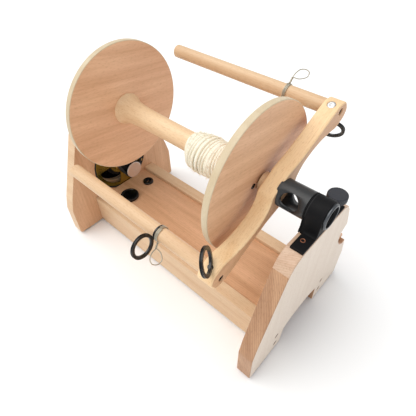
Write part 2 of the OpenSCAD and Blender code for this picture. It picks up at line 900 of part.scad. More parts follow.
// motor leads, from the circuit board under the rear board to the motor
module wiring() {
    for (s = [-1, 1])
        color(s > 0 ? "firebrick" : "black") translate([s * 8, 0, 0]) {
            translate([0, 300, case_z + 10.7]) cylinder(h = lead_z - case_z - 10.7, r = 1.2);
            translate([0, 300, lead_z]) sphere(r = 1.2);
            translate([0, 0, lead_z]) rod(300, bell_y + 7.5 - 300, 1.2);
            translate([0, bell_y + 7.5, lead_z]) sphere(r = 1.2);
            translate([0, bell_y + 7.5, lead_z]) cylinder(h = motor_h - 20.6 - lead_z, r = 1.2);
        }
}

// ------------------------------------------------------------------- build

translate([-centre_x, -centre_y, 0]) {
    front_board();
    rear_board();
    left_rail();
    right_rail();
    floor_panel();
    rubber_feet();
    rail_screws();
    hook_rest();
    bearing_housing();
    housing_screw();
    brake_liner();
    tension_stud();
    tension_spring();
    tension_knob();
    orifice_tube();
    orifice_collar();
    yoke();
    arm_upper();
    arm_lower();
    arm_screws();
    ring_screws();
    yoke_rings();
    spindle();
    spindle_spacer();
    spindle_collars();
    hook_upper();
    hook_lower();
    hook_ring();
    bobbin_core();
    disc_front();
    disc_rear();
    disc_screws();
    bobbin_bushes();
    whorl();
    yarn();
    rear_bearing();
    rear_bracket();
    bracket_screws();
    belt();
    motor_plate();
    plate_gasket();
    plate_screws();
    motor_can();
    motor_magnets();
    motor_armature();
    motor_end_bell();
    motor_terminals();
    motor_shaft();
    motor_pulley();
    pulley_cap();
    rear_cover();
    cover_screws();
    control_case();
    circuit_board();
    board_posts();
    speed_control();
    speed_knob();
    power_inlet();
    inlet_nut();
    wiring();
}
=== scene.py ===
"""Looks for the electric yarn spinner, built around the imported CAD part.

Every piece is modelled in millimetres in the machine's own frame: X to the right of the spindle,
Y from the front bobbin disc towards the motor, Z up from the table. `Solid.finish` turns it into
the row frame in metres and fixes it to its CAD body.
"""

import logging
import math
import random
from dataclasses import dataclass, field
from enum import Enum
from typing import Callable, Iterable, Sequence

import bmesh
import bpy
from mathutils import Matrix, Vector, noise
from mathutils.geometry import delaunay_2d_cdt
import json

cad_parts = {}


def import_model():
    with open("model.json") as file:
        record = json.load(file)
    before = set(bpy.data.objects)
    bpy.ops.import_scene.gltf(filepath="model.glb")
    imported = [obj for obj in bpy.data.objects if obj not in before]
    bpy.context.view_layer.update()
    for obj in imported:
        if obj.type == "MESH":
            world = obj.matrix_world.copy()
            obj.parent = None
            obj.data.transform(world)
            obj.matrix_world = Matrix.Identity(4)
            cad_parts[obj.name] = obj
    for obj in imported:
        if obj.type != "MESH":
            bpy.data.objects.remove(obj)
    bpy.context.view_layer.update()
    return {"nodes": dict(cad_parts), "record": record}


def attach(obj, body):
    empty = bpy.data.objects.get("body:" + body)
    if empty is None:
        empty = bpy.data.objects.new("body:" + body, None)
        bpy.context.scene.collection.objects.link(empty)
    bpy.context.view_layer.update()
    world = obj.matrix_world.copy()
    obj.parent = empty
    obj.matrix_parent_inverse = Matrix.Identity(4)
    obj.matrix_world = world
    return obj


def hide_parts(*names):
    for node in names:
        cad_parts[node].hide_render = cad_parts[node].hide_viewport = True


log = logging.getLogger("spinner")

Pair = tuple[float, float]
Triple = tuple[float, float, float]
Rgb = tuple[int, int, int]
Outline = tuple[Pair, ...]
Radii = tuple[float, ...]

# ---------------------------------------------------------------- the machine, in millimetres

CENTRE_X, CENTRE_Y = 8.25, 136.81
SPINDLE_Z = 240.0
MOTOR_Z = 107.0
LEAN = math.radians(26.2)
FOOT_H = 3.0
FRONT_Y, BACK_Y, BOARD_T = -90.0, 315.5, 20.0
FACE_Y = -92.4
RAIL_OUT, RAIL_T, RAIL_TOP, FLOOR_TOP = 71.0, 20.0, 61.0, 55.0
ARM_R, ARM_RAD = 124.8, 9.7
UPPER_END, LOWER_END = 254.0, 260.0
YOKE_FRONT, YOKE_BACK = -32.0, -10.0
DISC_R, DISC_T, REAR_DISC = 100.0, 9.0, 257.7
WHORL_Y, WHORL_R, BELT_Y = 266.7, 75.0, 281.2
PULLEY_R, BELT_R, PLATE_R = 16.5, 2.2, 54.5
GROOVE_DEPTH, GROOVE_HALF = 4.2, 1.2
KNOB_AT, SCREW_AT = (34.5, -83.0), (-32.0, -81.8)
SPEED_AT, INLET_AT = (-22.6, 274.0), (29.0, 280.0)
RING_U, RING_Y, RING_W, RING_R = 120.5, -21.0, -37.3, 17.5

AT_REST = Matrix.Identity(4)
ON_SPINDLE = Matrix.Translation((0, 0, SPINDLE_Z))
ON_FLYER = ON_SPINDLE @ Matrix.Rotation(-LEAN, 4, "Y")
ON_MOTOR = Matrix.Translation((0, 0, MOTOR_Z))
HALF_TURN = Matrix.Rotation(math.pi, 4, "Y")
UPRIGHT = Matrix.Rotation(math.pi / 2, 4, "X")
TO_ROW = Matrix.Diagonal((0.001, 0.001, 0.001, 1)) @ Matrix.Translation(
    (-CENTRE_X, -CENTRE_Y, 0)
)


class Body(Enum):
    """The CAD bodies that pieces ride on."""

    STAND = "stand"
    FLYER = "flyer"
    BOBBIN = "bobbin"
    ROTOR = "motor_rotor"
    UPPER_HOOK = "upper_hook"
    LOWER_HOOK = "lower_hook"
    TENSION = "tension_control"
    SPEED = "speed_dial"


# ------------------------------------------------------------------------------- outlines


def rounded(points: Sequence[Pair], radii: Sequence[float], steps: int = 8) -> list[Pair]:
    """Rounds every corner of a closed outline.

    Args:
        points: the corners.
        radii: one radius a corner; 0 keeps the corner sharp.
        steps: segments in each rounded corner.

    Returns:
        The outline with its corners rounded.
    """
    out: list[Pair] = []
    count = len(points)
    for i, (point, radius) in enumerate(zip(points, radii)):
        b = Vector(point)
        u = (Vector(points[i - 1]) - b).normalized()
        v = (Vector(points[(i + 1) % count]) - b).normalized()
        half = math.acos(max(-1.0, min(1.0, u.dot(v)))) / 2
        if radius == 0 or half > math.radians(89.5):
            out.append(tuple(b))
            continue
        centre = b + (u + v).normalized() * radius / math.sin(half)
        s = b + u * radius / math.tan(half) - centre
        e = b + v * radius / math.tan(half) - centre
        start = math.atan2(s.y, s.x)
        sweep = (math.atan2(e.y, e.x) - start + math.pi) % math.tau - math.pi
        for k in range(steps + 1):
            a = start + sweep * k / steps
            out.append((centre.x + radius * math.cos(a), centre.y + radius * math.sin(a)))
    return out


def circle(radius: float, centre: Pair = (0, 0), steps: int = 64) -> list[Pair]:
    """A circle as a closed outline.

    Args:
        radius: its radius.
        centre: its centre.
        steps: how many corners it has.

    Returns:
        The outline.
    """
    return [
        (
            centre[0] + radius * math.cos(math.tau * k / steps),
            centre[1] + radius * math.sin(math.tau * k / steps),
        )
        for k in range(steps)
    ]


def anticlockwise(points: Sequence[Pair]) -> list[Pair]:
    """The same outline, running anticlockwise."""
    area = sum(a[0] * b[1] - b[0] * a[1] for a, b in zip(points, [*points[1:], points[0]]))
    return list(points) if area > 0 else list(reversed(points))


def inset(points: Sequence[Pair], depth: float) -> list[Pair]:
    """Moves an anticlockwise outline inwards, along its corners' bisectors.

    Args:
        points: the outline.
        depth: how far; less than 0 moves it outwards.

    Returns:
        The moved outline.
    """
    out = []
    count = len(points)
    for i in range(count):
        a, b, c = (Vector(points[j % count]) for j in (i - 1, i, i + 1))
        d1, d2 = (b - a).normalized(), (c - b).normalized()
        n1, n2 = Vector((-d1.y, d1.x)), Vector((-d2.y, d2.x))
        mitre = n1 + n2
        scale = depth / max(0.35, mitre.length_squared / 2)
        out.append(tuple(b + mitre * scale))
    return out


def within(point: Pair, outline: Sequence[Pair]) -> bool:
    """Whether a point lies inside a closed outline.

    Args:
        point: the point.
        outline: the outline.

    Returns:
        True for a point inside.
    """
    crossings = 0
    for (ax, ay), (bx, by) in zip(outline, [*outline[1:], outline[0]]):
        if (ay > point[1]) != (by > point[1]):
            crossings += point[0] < ax + (bx - ax) * (point[1] - ay) / (by - ay)
    return crossings % 2 == 1


def smooth_path(points: Sequence[Vector], closed: bool, steps: int = 8) -> list[Vector]:
    """A smooth curve through the points.

    Args:
        points: the points.
        closed: whether the curve returns to the first of them.
        steps: segments between two points.

    Returns:
        The points of the curve.
    """
    count = len(points)
    out: list[Vector] = []
    for i in range(count if closed else count - 1):
        if closed:
            p = [points[(i + j) % count] for j in (-1, 0, 1, 2)]
        else:
            p = [points[max(0, min(count - 1, i + j))] for j in (-1, 0, 1, 2)]
        for k in range(steps):
            t = k / steps
            out.append(
                0.5
                * (
                    2 * p[1]
                    + (p[2] - p[0]) * t
                    + (2 * p[0] - 5 * p[1] + 4 * p[2] - p[3]) * t**2
                    + (3 * p[1] - p[0] - 3 * p[2] + p[3]) * t**3
                )
            )
    if not closed:
        out.append(points[-1].copy())
    return out


def band(inner: float, outer: float, front: float, back: float) -> list[Pair]:
    """A square section of a turned piece, as (radius, y)."""
    return [(inner, front), (outer, front), (outer, back), (inner, back)]


def shifted(section: Sequence[Pair], y: float) -> list[Pair]:
    """A section of a turned piece, moved along its axis."""
    return [(radius, at + y) for radius, at in section]


def soft_profile(points: Sequence[Pair], radius: float, steps: int = 3) -> list[Pair]:
    """A section of a turned piece, with every corner off the axis rounded."""
    return rounded(points, [0 if p[0] < 1e-6 else radius for p in points], steps)


def ring_section() -> list[Pair]:
    """The section of a grooved yarn ring.

    Returns:
        The section, as (radius, y).
    """
    floor = RING_R - 0.9
    section = [
        (12.9, -1.2), (13.6, -1.8), (RING_R, -1.8), (RING_R, -0.9), (floor, -0.4), (floor, 0.4),
        (RING_R, 0.9), (RING_R, 1.8), (13.6, 1.8), (12.9, 1.2),
    ]
    return soft_profile(section, 0.3)


def fluted(radius: float, depth: float, flutes: int, steps: int) -> list[Pair]:
    """The outline of a knob with a fluted edge.

    Args:
        radius: its middle radius.
        depth: how far a flute goes in and out from it.
        flutes: how many flutes it has.
        steps: how many corners the outline has.

    Returns:
        The outline.
    """
    outline = []
    for k in range(steps):
        a = math.tau * k / steps
        r = radius + depth * math.cos(flutes * a)
        outline.append((r * math.cos(a), r * math.sin(a)))
    return outline


def saddle(
    side: Sequence[Pair],
    radii: Sequence[float],
    arc_r: float,
    steps: int = 40,
    corner_steps: int = 5,
) -> list[Pair]:
    """The outline of a bearing's housing: one side mirrored, and an arc over the spindle.

    Args:
        side: the right-hand side, from the arc's end downwards.
        radii: its corners' radii.
        arc_r: the arc's radius.
        steps: segments in the arc.
        corner_steps: segments in a rounded corner.

    Returns:
        The outline, in the machine's frame.
    """
    arc = [
        (arc_r * math.cos(a), SPINDLE_Z + arc_r * math.sin(a))
        for a in [math.pi * k / steps for k in range(1, steps)]
    ]
    half = rounded(side, radii, corner_steps)
    return [*reversed(half), *arc, *[(-x, z) for x, z in half]]


def helix(
    radius: float, y0: float, pitch: float, turns: float, phase: float = 0.0, steps: int = 32
) -> list[Vector]:
    """A helix about the Y axis.

    Args:
        radius: its radius.
        y0: where it starts.
        pitch: how far it goes along in one turn.
        turns: how many turns it has.
        phase: the angle at which it starts.
        steps: segments in a turn.

    Returns:
        The points of the helix.
    """
    out = []
    for k in range(int(turns * steps) + 1):
        a = phase + math.tau * k / steps
        out.append(Vector((radius * math.cos(a), y0 + pitch * k / steps, radius * math.sin(a))))
    return out


# --------------------------------------------------------------------------- shader groups


@dataclass
class GroupBuilder:
    """Writes one shader node group with named sockets."""

    name: str
    tree: bpy.types.ShaderNodeTree = field(init=False)

    def __post_init__(self) -> None:
        """Makes the empty group with its two end nodes."""
        self.tree = bpy.data.node_groups.new(self.name, "ShaderNodeTree")
        self.entry = self.tree.nodes.new("NodeGroupInput")
        self.exit = self.tree.nodes.new("NodeGroupOutput")

    def socket(
        self,
        name: str,
        kind: str,
        output: bool = False,
        default: float | tuple[float, ...] | None = None,
    ) -> None:
        """Adds a named socket to the group's interface.

        Args:
            name: its name.
            kind: its socket type.
            output: whether it is an output.
            default: its value where nothing is linked.
        """
        made = self.tree.interface.new_socket(
            name=name, in_out="OUTPUT" if output else "INPUT", socket_type=kind
        )
        if default is not None:
            made.default_value = default

    def node(self, kind: str, **settings: object) -> bpy.types.ShaderNode:
        """Adds a node to the group, as add_node does."""
        return add_node(self.tree, kind, **settings)

    def link(self, source: bpy.types.NodeSocket, target: bpy.types.NodeSocket) -> None:
        """Joins two sockets."""
        self.tree.links.new(source, target)


def add_node(
    tree: bpy.types.NodeTree, kind: str, inputs: dict | None = None, **settings: object
) -> bpy.types.ShaderNode:
    """Adds a node to a tree.

    Args:
        tree: the tree.
        kind: the node's type.
        inputs: values of its unlinked inputs, by socket name.
        settings: values of its attributes.

    Returns:
        The node.
    """
    node = tree.nodes.new(kind)
    for key, value in settings.items():
        setattr(node, key, value)
    for key, value in (inputs or {}).items():
        node.inputs[key].default_value = value
    return node


def timber_group() -> bpy.types.ShaderNodeTree:
    """Wood: streaks, growth rings, fine fibres and short pores, with the grain along X.

    Returns:
        The group, with a colour, a roughness and a height.
    """
    g = GroupBuilder("Timber")
    g.socket("Grain", "NodeSocketVector")
    g.socket("Light", "NodeSocketColor", default=(0.8, 0.6, 0.4, 1))
    g.socket("Dark", "NodeSocketColor", default=(0.6, 0.4, 0.25, 1))
    g.socket("Pore", "NodeSocketColor", default=(0.4, 0.25, 0.14, 1))
    g.socket("Figure", "NodeSocketFloat", default=0.5)
    g.socket("Pores", "NodeSocketFloat", default=0.4)
    g.socket("Polish", "NodeSocketFloat", default=0.4)
    g.socket("Color", "NodeSocketColor", output=True)
    g.socket("Roughness", "NodeSocketFloat", output=True)
    g.socket("Height", "NodeSocketFloat", output=True)
    grain = g.entry.outputs["Grain"]

    def stretched(
        scale: Triple, detail: float, distortion: float = 0.0
    ) -> bpy.types.NodeSocket:
        """Noise drawn out along the grain.

        Args:
            scale: its scale along, across and through the grain.
            detail: its detail.
            distortion: its distortion.

        Returns:
            The noise's socket.
        """
        mapping = g.node("ShaderNodeMapping", inputs={"Scale": scale})
        g.link(grain, mapping.inputs["Vector"])
        texture = g.node(
            "ShaderNodeTexNoise",
            inputs={"Scale": 1.0, "Detail": detail, "Distortion": distortion},
        )
        g.link(mapping.outputs[0], texture.inputs["Vector"])
        return texture.outputs["Fac"]

    def calc(
        operation: str, *values: float | bpy.types.NodeSocket, clamp: bool = False
    ) -> bpy.types.NodeSocket:
        """One step of arithmetic.

        Args:
            operation: what it does.
            values: numbers, or sockets to link.
            clamp: whether the result stays between 0 and 1.

        Returns:
            The result's socket.
        """
        node = g.node("ShaderNodeMath", operation=operation, use_clamp=clamp)
        for slot, value in zip(node.inputs, values):
            if isinstance(value, (int, float)):
                slot.default_value = value
            else:
                g.link(value, slot)
        return node.outputs[0]

    streak = stretched((6, 80, 80), 6, 0.25)
    fibre = stretched((40, 1100, 1100), 3)
    fleck = stretched((160, 1000, 1000), 2)
    bend = stretched((5, 16, 16), 3)

    across = g.node("ShaderNodeSeparateXYZ")
    g.link(grain, across.inputs[0])
    depth = calc("MULTIPLY_ADD", across.outputs["Z"], 0.6, across.outputs["Y"])
    depth = calc("MULTIPLY_ADD", bend, 0.025, depth)
    ring = calc("MULTIPLY_ADD", calc("SINE", calc("MULTIPLY", depth, 1900.0)), 0.5, 0.5)
    figured = calc("MULTIPLY", calc("POWER", ring, 2.0), g.entry.outputs["Figure"])

    tone = calc("MULTIPLY_ADD", streak, 1.7, calc("MULTIPLY", fibre, 0.3))
    tone = calc("MULTIPLY_ADD", figured, 0.5, tone)
    tone = calc("SUBTRACT", tone, 0.6, clamp=True)

    base = g.node("ShaderNodeMix", data_type="RGBA")
    g.link(tone, base.inputs["Factor"])
    g.link(g.entry.outputs["Light"], base.inputs["A"])
    g.link(g.entry.outputs["Dark"], base.inputs["B"])

    pore = g.node(
        "ShaderNodeMapRange", inputs={"From Min": 0.55, "From Max": 0.68, "To Min": 0, "To Max": 1}
    )
    g.link(fleck, pore.inputs["Value"])
    pore_amount = calc("MULTIPLY", pore.outputs[0], g.entry.outputs["Pores"])
    speckled = g.node("ShaderNodeMix", data_type="RGBA")
    g.link(pore_amount, speckled.inputs["Factor"])
    g.link(base.outputs["Result"], speckled.inputs["A"])
    g.link(g.entry.outputs["Pore"], speckled.inputs["B"])
    g.link(speckled.outputs["Result"], g.exit.inputs["Color"])

    rough = calc("MULTIPLY_ADD", fibre, 0.12, g.entry.outputs["Polish"], clamp=True)
    g.link(rough, g.exit.inputs["Roughness"])
    height = calc("SUBTRACT", fibre, pore_amount)
    g.link(height, g.exit.inputs["Height"])
    return g.tree


def wear_group() -> bpy.types.ShaderNodeTree:
    """Slow smears of handling, as a roughness.

    Returns:
        The group.
    """
    g = GroupBuilder("Handling")
    g.socket("Vector", "NodeSocketVector")
    g.socket("Scale", "NodeSocketFloat", default=30.0)
    g.socket("Roughness", "NodeSocketFloat", default=0.4)
    g.socket("Amount", "NodeSocketFloat", default=0.15)
    g.socket("Roughness", "NodeSocketFloat", output=True)
    smear = g.node(
        "ShaderNodeTexNoise", inputs={"Detail": 5.0, "Roughness": 0.6, "Distortion": 0.4}
    )
    g.link(g.entry.outputs["Vector"], smear.inputs["Vector"])
    g.link(g.entry.outputs["Scale"], smear.inputs["Scale"])
    mask = g.node("ShaderNodeMapRange", inputs={"From Min": 0.35, "From Max": 0.7})
    g.link(smear.outputs["Fac"], mask.inputs["Value"])
    scaled = g.node("ShaderNodeMath", operation="MULTIPLY")
    g.link(mask.outputs[0], scaled.inputs[0])
    g.link(g.entry.outputs["Amount"], scaled.inputs[1])
    total = g.node("ShaderNodeMath", operation="ADD", use_clamp=True)
    g.link(scaled.outputs[0], total.inputs[0])
    g.link(g.entry.outputs["Roughness"], total.inputs[1])
    g.link(total.outputs[0], g.exit.inputs["Roughness"])
    return g.tree


# ------------------------------------------------------------------------------- materials


def srgb(red: int, green: int, blue: int) -> tuple[float, float, float, float]:
    """A display colour as a linear one.

    Args:
        red: red, 0 to 255.
        green: green, 0 to 255.
        blue: blue, 0 to 255.

    Returns:
        Linear red, green and blue, and an alpha of 1.
    """

    def linear(v: float) -> float:
        """One channel, from 0 to 255, as a linear value."""
        v /= 255
        return v / 12.92 if v <= 0.04045 else ((v + 0.055) / 1.055) ** 2.4

    return (linear(red), linear(green), linear(blue), 1.0)


@dataclass(frozen=True)
class Timber:
    """One wood finish. `turn` is the rotation, in degrees, that lays the grain along X."""

    light: Rgb
    dark: Rgb
    pore: Rgb
    turn: Triple = (0, 0, 0)
    shift: Triple = (0, 0, 0)
    figure: float = 0.25
    pores: float = 0.35
    polish: float = 0.36


@dataclass(frozen=True)
class Plain:
    """One finish without grain."""

    colour: Rgb
    roughness: float = 0.4
    metallic: float = 0.0
    specular: float = 0.5
    smear: float = 0.12
    bump: float = 0.05
    bump_scale: float = 900.0
    stretch: Triple = (1, 1, 1)
    second: Rgb | None = None
    second_scale: float = 25.0


ALONG_Y = (0, 0, 90)
ALONG_Z = (0, 90, 0)
LEANING = (0, math.degrees(LEAN), 0)


class Finish(Enum):
    """Every finish in the scene."""

    BOARD_FACE = Timber(
        (234, 219, 203), (222, 203, 185), (200, 174, 150), ALONG_Z, (0.02, 0.3, 0), 0.12, 0.3,
    )
    # The board's edges: brown wood, partly darkened as painted shade on edges turned from the
    # light.
    BOARD_EDGE = Timber(
        (204, 162, 126), (162, 116, 82), (130, 88, 58), (20, 75, 0), (0.4, 0.1, 0.2), 0.6, 0.35,
    )
    # The board's top: lighter than its edges, partly painted light on the upward-facing top.
    BOARD_TOP = Timber(
        (218, 190, 164), (192, 154, 126), (160, 120, 92), (0, 0, 60), (0.4, 0.1, 0.2), 0.5, 0.35,
    )
    # The rear board's faces, browner than its edges; the dark tone is the face's colour in the
    # disc's shadow, so partly painted shade.
    REAR_FACE = Timber(
        (226, 182, 144), (200, 152, 114), (176, 126, 88), ALONG_Z, (0.1, 0.7, 0), 0.3, 0.3,
    )
    RAIL = Timber(
        (230, 200, 164), (208, 168, 128), (178, 134, 94), ALONG_Y, (0.3, 0.2, 0.1), 0.25, 0.3,
    )
    FLOOR = Timber(
        (230, 182, 142), (196, 146, 106), (164, 114, 80), ALONG_Y, (0.8, 0.1, 0.3), 0.4, 0.3,
    )
    DOWEL = Timber(
        (226, 194, 156), (204, 164, 124), (182, 136, 94), ALONG_Y, (0.5, 0.5, 0.1), 0.2, 0.3,
    )
    CORE = Timber(
        (240, 210, 170), (218, 178, 134), (188, 142, 98), ALONG_Y, (0.1, 0.9, 0.4), 0.2, 0.35,
    )
    YOKE = Timber(
        (247, 216, 171), (230, 188, 139), (194, 148, 102), LEANING, (0.2, 0.4, 0.6), 0.25, 0.35,
    )
    # The yoke's flat faces: darker and more saturated than its edges, partly their own tone, partly
    # painted shade on faces turned from the light.
    YOKE_SIDE = Timber(
        (222, 178, 138), (192, 142, 102), (158, 108, 74), LEANING, (0.2, 0.4, 0.6), 0.35, 0.35,
    )
    DISC = Timber(
        (238, 194, 156), (206, 156, 118), (176, 126, 90), (0, -8, 0), (0.35, 0.2, 0.5), 0.2, 0.3,
    )
    RIM = Timber((216, 200, 170), (200, 178, 144), (190, 160, 122), ALONG_Z, (0, 0, 0), 0.15, 0.25)
    # The forked rest's wood, browner than the board's face: painted shade for surfaces turned from
    # the light.
    REST = Timber(
        (228, 178, 132), (194, 136, 92), (150, 98, 64), ALONG_Y, (0.3, 0.3, 0.1), 0.2, 0.3,
    )
    BLACK = Plain((14, 14, 16), 0.5, specular=0.15, bump=0.08, smear=0.14)
    TUBE = Plain((38, 39, 40), 0.32, bump=0.35, bump_scale=900.0, smear=0.1)
    GLOSS = Plain((7, 7, 8), 0.22, bump=0.0, smear=0.04)
    KNOB = Plain((44, 46, 53), 0.5, bump=0.12, bump_scale=1400.0)
    RUBBER = Plain((26, 26, 27), 0.65, bump=0.1)
    LIP = Plain((88, 90, 93), 0.3, metallic=0.9, bump=0.06, bump_scale=1200.0)
    STEEL = Plain((176, 176, 178), 0.28, metallic=1.0)
    WIRE = Plain((186, 178, 160), 0.38, metallic=0.7)
    CHROME = Plain((196, 196, 196), 0.3, metallic=1.0, bump=0.3, bump_scale=500.0)
    DARK_SCREW = Plain((120, 84, 66), 0.5, metallic=0.4)
    COPPER = Plain((150, 98, 74), 0.35, metallic=0.8)
    BRASS = Plain((206, 168, 92), 0.3, metallic=1.0)
    ZINC = Plain((178, 158, 78), 0.18, metallic=1.0, second=(92, 104, 52), second_scale=14.0)
    PULLEY_FACE = Plain((208, 190, 178), 0.32, metallic=0.7, bump=0.05)
    YARN = Plain(
        (244, 239, 222), 0.9, bump=0.4, bump_scale=1500.0, second=(236, 229, 208), second_scale=90.0
    )
    FIBRE_BOARD = Plain((30, 70, 42), 0.5)
    FERRITE = Plain((60, 60, 62), 0.6)
    WINDING = Plain((150, 96, 60), 0.35, metallic=0.6)
    LEAD = Plain((120, 24, 22), 0.45)


SLOT_FINISH: dict[str, Finish] = {
    "pale_wood": Finish.RAIL,
    "brown_ply": Finish.FLOOR,
    "brown_wood": Finish.REST,
    "dowel": Finish.DOWEL,
    "disc_ply": Finish.DISC,
    "rubber": Finish.RUBBER,
    "belt": Finish.RUBBER,
    "liner": Finish.RUBBER,
    "dark_screw": Finish.DARK_SCREW,
    "copper_screw": Finish.COPPER,
    "black_screw": Finish.GLOSS,
    "chrome": Finish.CHROME,
    "black_plastic": Finish.BLACK,
    "gloss_black": Finish.GLOSS,
    "motor_black": Finish.BLACK,
    "dark_steel": Finish.LIP,
    "steel": Finish.STEEL,
    "wire": Finish.WIRE,
    "bronze": Finish.BRASS,
    "brass": Finish.BRASS,
    "zinc": Finish.ZINC,
    "pulley_face": Finish.PULLEY_FACE,
    "magnet": Finish.FERRITE,
    "armature": Finish.WINDING,
    "green_board": Finish.FIBRE_BOARD,
    "lead": Finish.LEAD,
    "yarn": Finish.YARN,
}


class Palette:
    """Makes each finish's material once."""

    def __init__(self) -> None:
        """Makes the two shared groups."""
        self.timber = timber_group()
        self.wear = wear_group()
        self.made: dict[Finish, bpy.types.Material] = {}

    def __getitem__(self, finish: Finish) -> bpy.types.Material:
        """A finish's material.

        Args:
            finish: the finish.

        Returns:
            The material, made when it is first asked for.
        """
        if finish not in self.made:
            recipe = finish.value
            build = self._wood if isinstance(recipe, Timber) else self._plain
            self.made[finish] = build(finish.name.lower(), recipe)
        return self.made[finish]

    @staticmethod
    def _start(name: str) -> tuple[bpy.types.Material, bpy.types.NodeTree, bpy.types.ShaderNode]:
        """A new material.

        Args:
            name: its name.

        Returns:
            The material, its node tree and its shader.
        """
        material = bpy.data.materials.new(name)
        material.use_nodes = True
        tree = material.node_tree
        return material, tree, tree.nodes["Principled BSDF"]

    def _wood(self, name: str, recipe: Timber) -> bpy.types.Material:
        """A varnished wood, in object coordinates.

        Args:
            name: the material's name.
            recipe: the finish.

        Returns:
            The material.
        """
        material, tree, shader = self._start(name)
        link = tree.links.new
        place = add_node(tree, "ShaderNodeTexCoord")
        turn = add_node(
            tree,
            "ShaderNodeMapping",
            inputs={"Rotation": [math.radians(a) for a in recipe.turn], "Location": recipe.shift},
        )
        wood = add_node(
            tree,
            "ShaderNodeGroup",
            node_tree=self.timber,
            inputs={
                "Light": srgb(*recipe.light),
                "Dark": srgb(*recipe.dark),
                "Pore": srgb(*recipe.pore),
                "Figure": recipe.figure,
                "Pores": recipe.pores,
                "Polish": recipe.polish,
            },
        )
        bump = add_node(tree, "ShaderNodeBump", inputs={"Strength": 0.12, "Distance": 0.0003})
        link(place.outputs["Object"], turn.inputs["Vector"])
        link(turn.outputs[0], wood.inputs["Grain"])
        link(wood.outputs["Color"], shader.inputs["Base Color"])
        link(wood.outputs["Roughness"], shader.inputs["Roughness"])
        link(wood.outputs["Height"], bump.inputs["Height"])
        link(bump.outputs[0], shader.inputs["Normal"])
        shader.inputs["Specular IOR Level"].default_value = 0.35
        return material

    def _plain(self, name: str, recipe: Plain) -> bpy.types.Material:
        """A plastic, metal, rubber or fibre finish, in object coordinates.

        Args:
            name: the material's name.
            recipe: the finish.

        Returns:
            The material.
        """
        material, tree, shader = self._start(name)
        link = tree.links.new
        place = add_node(tree, "ShaderNodeTexCoord")
        wear = add_node(
            tree,
            "ShaderNodeGroup",
            node_tree=self.wear,
            inputs={"Roughness": recipe.roughness, "Amount": recipe.smear},
        )
        link(place.outputs["Object"], wear.inputs["Vector"])
        link(wear.outputs["Roughness"], shader.inputs["Roughness"])
        shader.inputs["Base Color"].default_value = srgb(*recipe.colour)
        shader.inputs["Metallic"].default_value = recipe.metallic
        shader.inputs["Specular IOR Level"].default_value = recipe.specular
        if recipe.second:
            patch = add_node(
                tree, "ShaderNodeTexNoise", inputs={"Scale": recipe.second_scale, "Detail": 3.0}
            )
            mix = add_node(
                tree,
                "ShaderNodeMix",
                data_type="RGBA",
                inputs={"A": srgb(*recipe.colour), "B": srgb(*recipe.second)},
            )
            spread = add_node(
                tree, "ShaderNodeMapRange", inputs={"From Min": 0.35, "From Max": 0.65}
            )
            link(place.outputs["Object"], patch.inputs["Vector"])
            link(patch.outputs["Fac"], spread.inputs["Value"])
            link(spread.outputs[0], mix.inputs["Factor"])
            link(mix.outputs["Result"], shader.inputs["Base Color"])
        if recipe.bump:
            stretch = add_node(tree, "ShaderNodeMapping", inputs={"Scale": recipe.stretch})
            grit = add_node(
                tree, "ShaderNodeTexNoise", inputs={"Scale": recipe.bump_scale, "Detail": 2.0}
            )
            bump = add_node(
                tree, "ShaderNodeBump", inputs={"Strength": recipe.bump, "Distance": 0.0004}
            )
            link(place.outputs["Object"], stretch.inputs["Vector"])
            link(stretch.outputs[0], grit.inputs["Vector"])
            link(grit.outputs["Fac"], bump.inputs["Height"])
            link(bump.outputs[0], shader.inputs["Normal"])
        return material


# ------------------------------------------------------------------------------- modelling


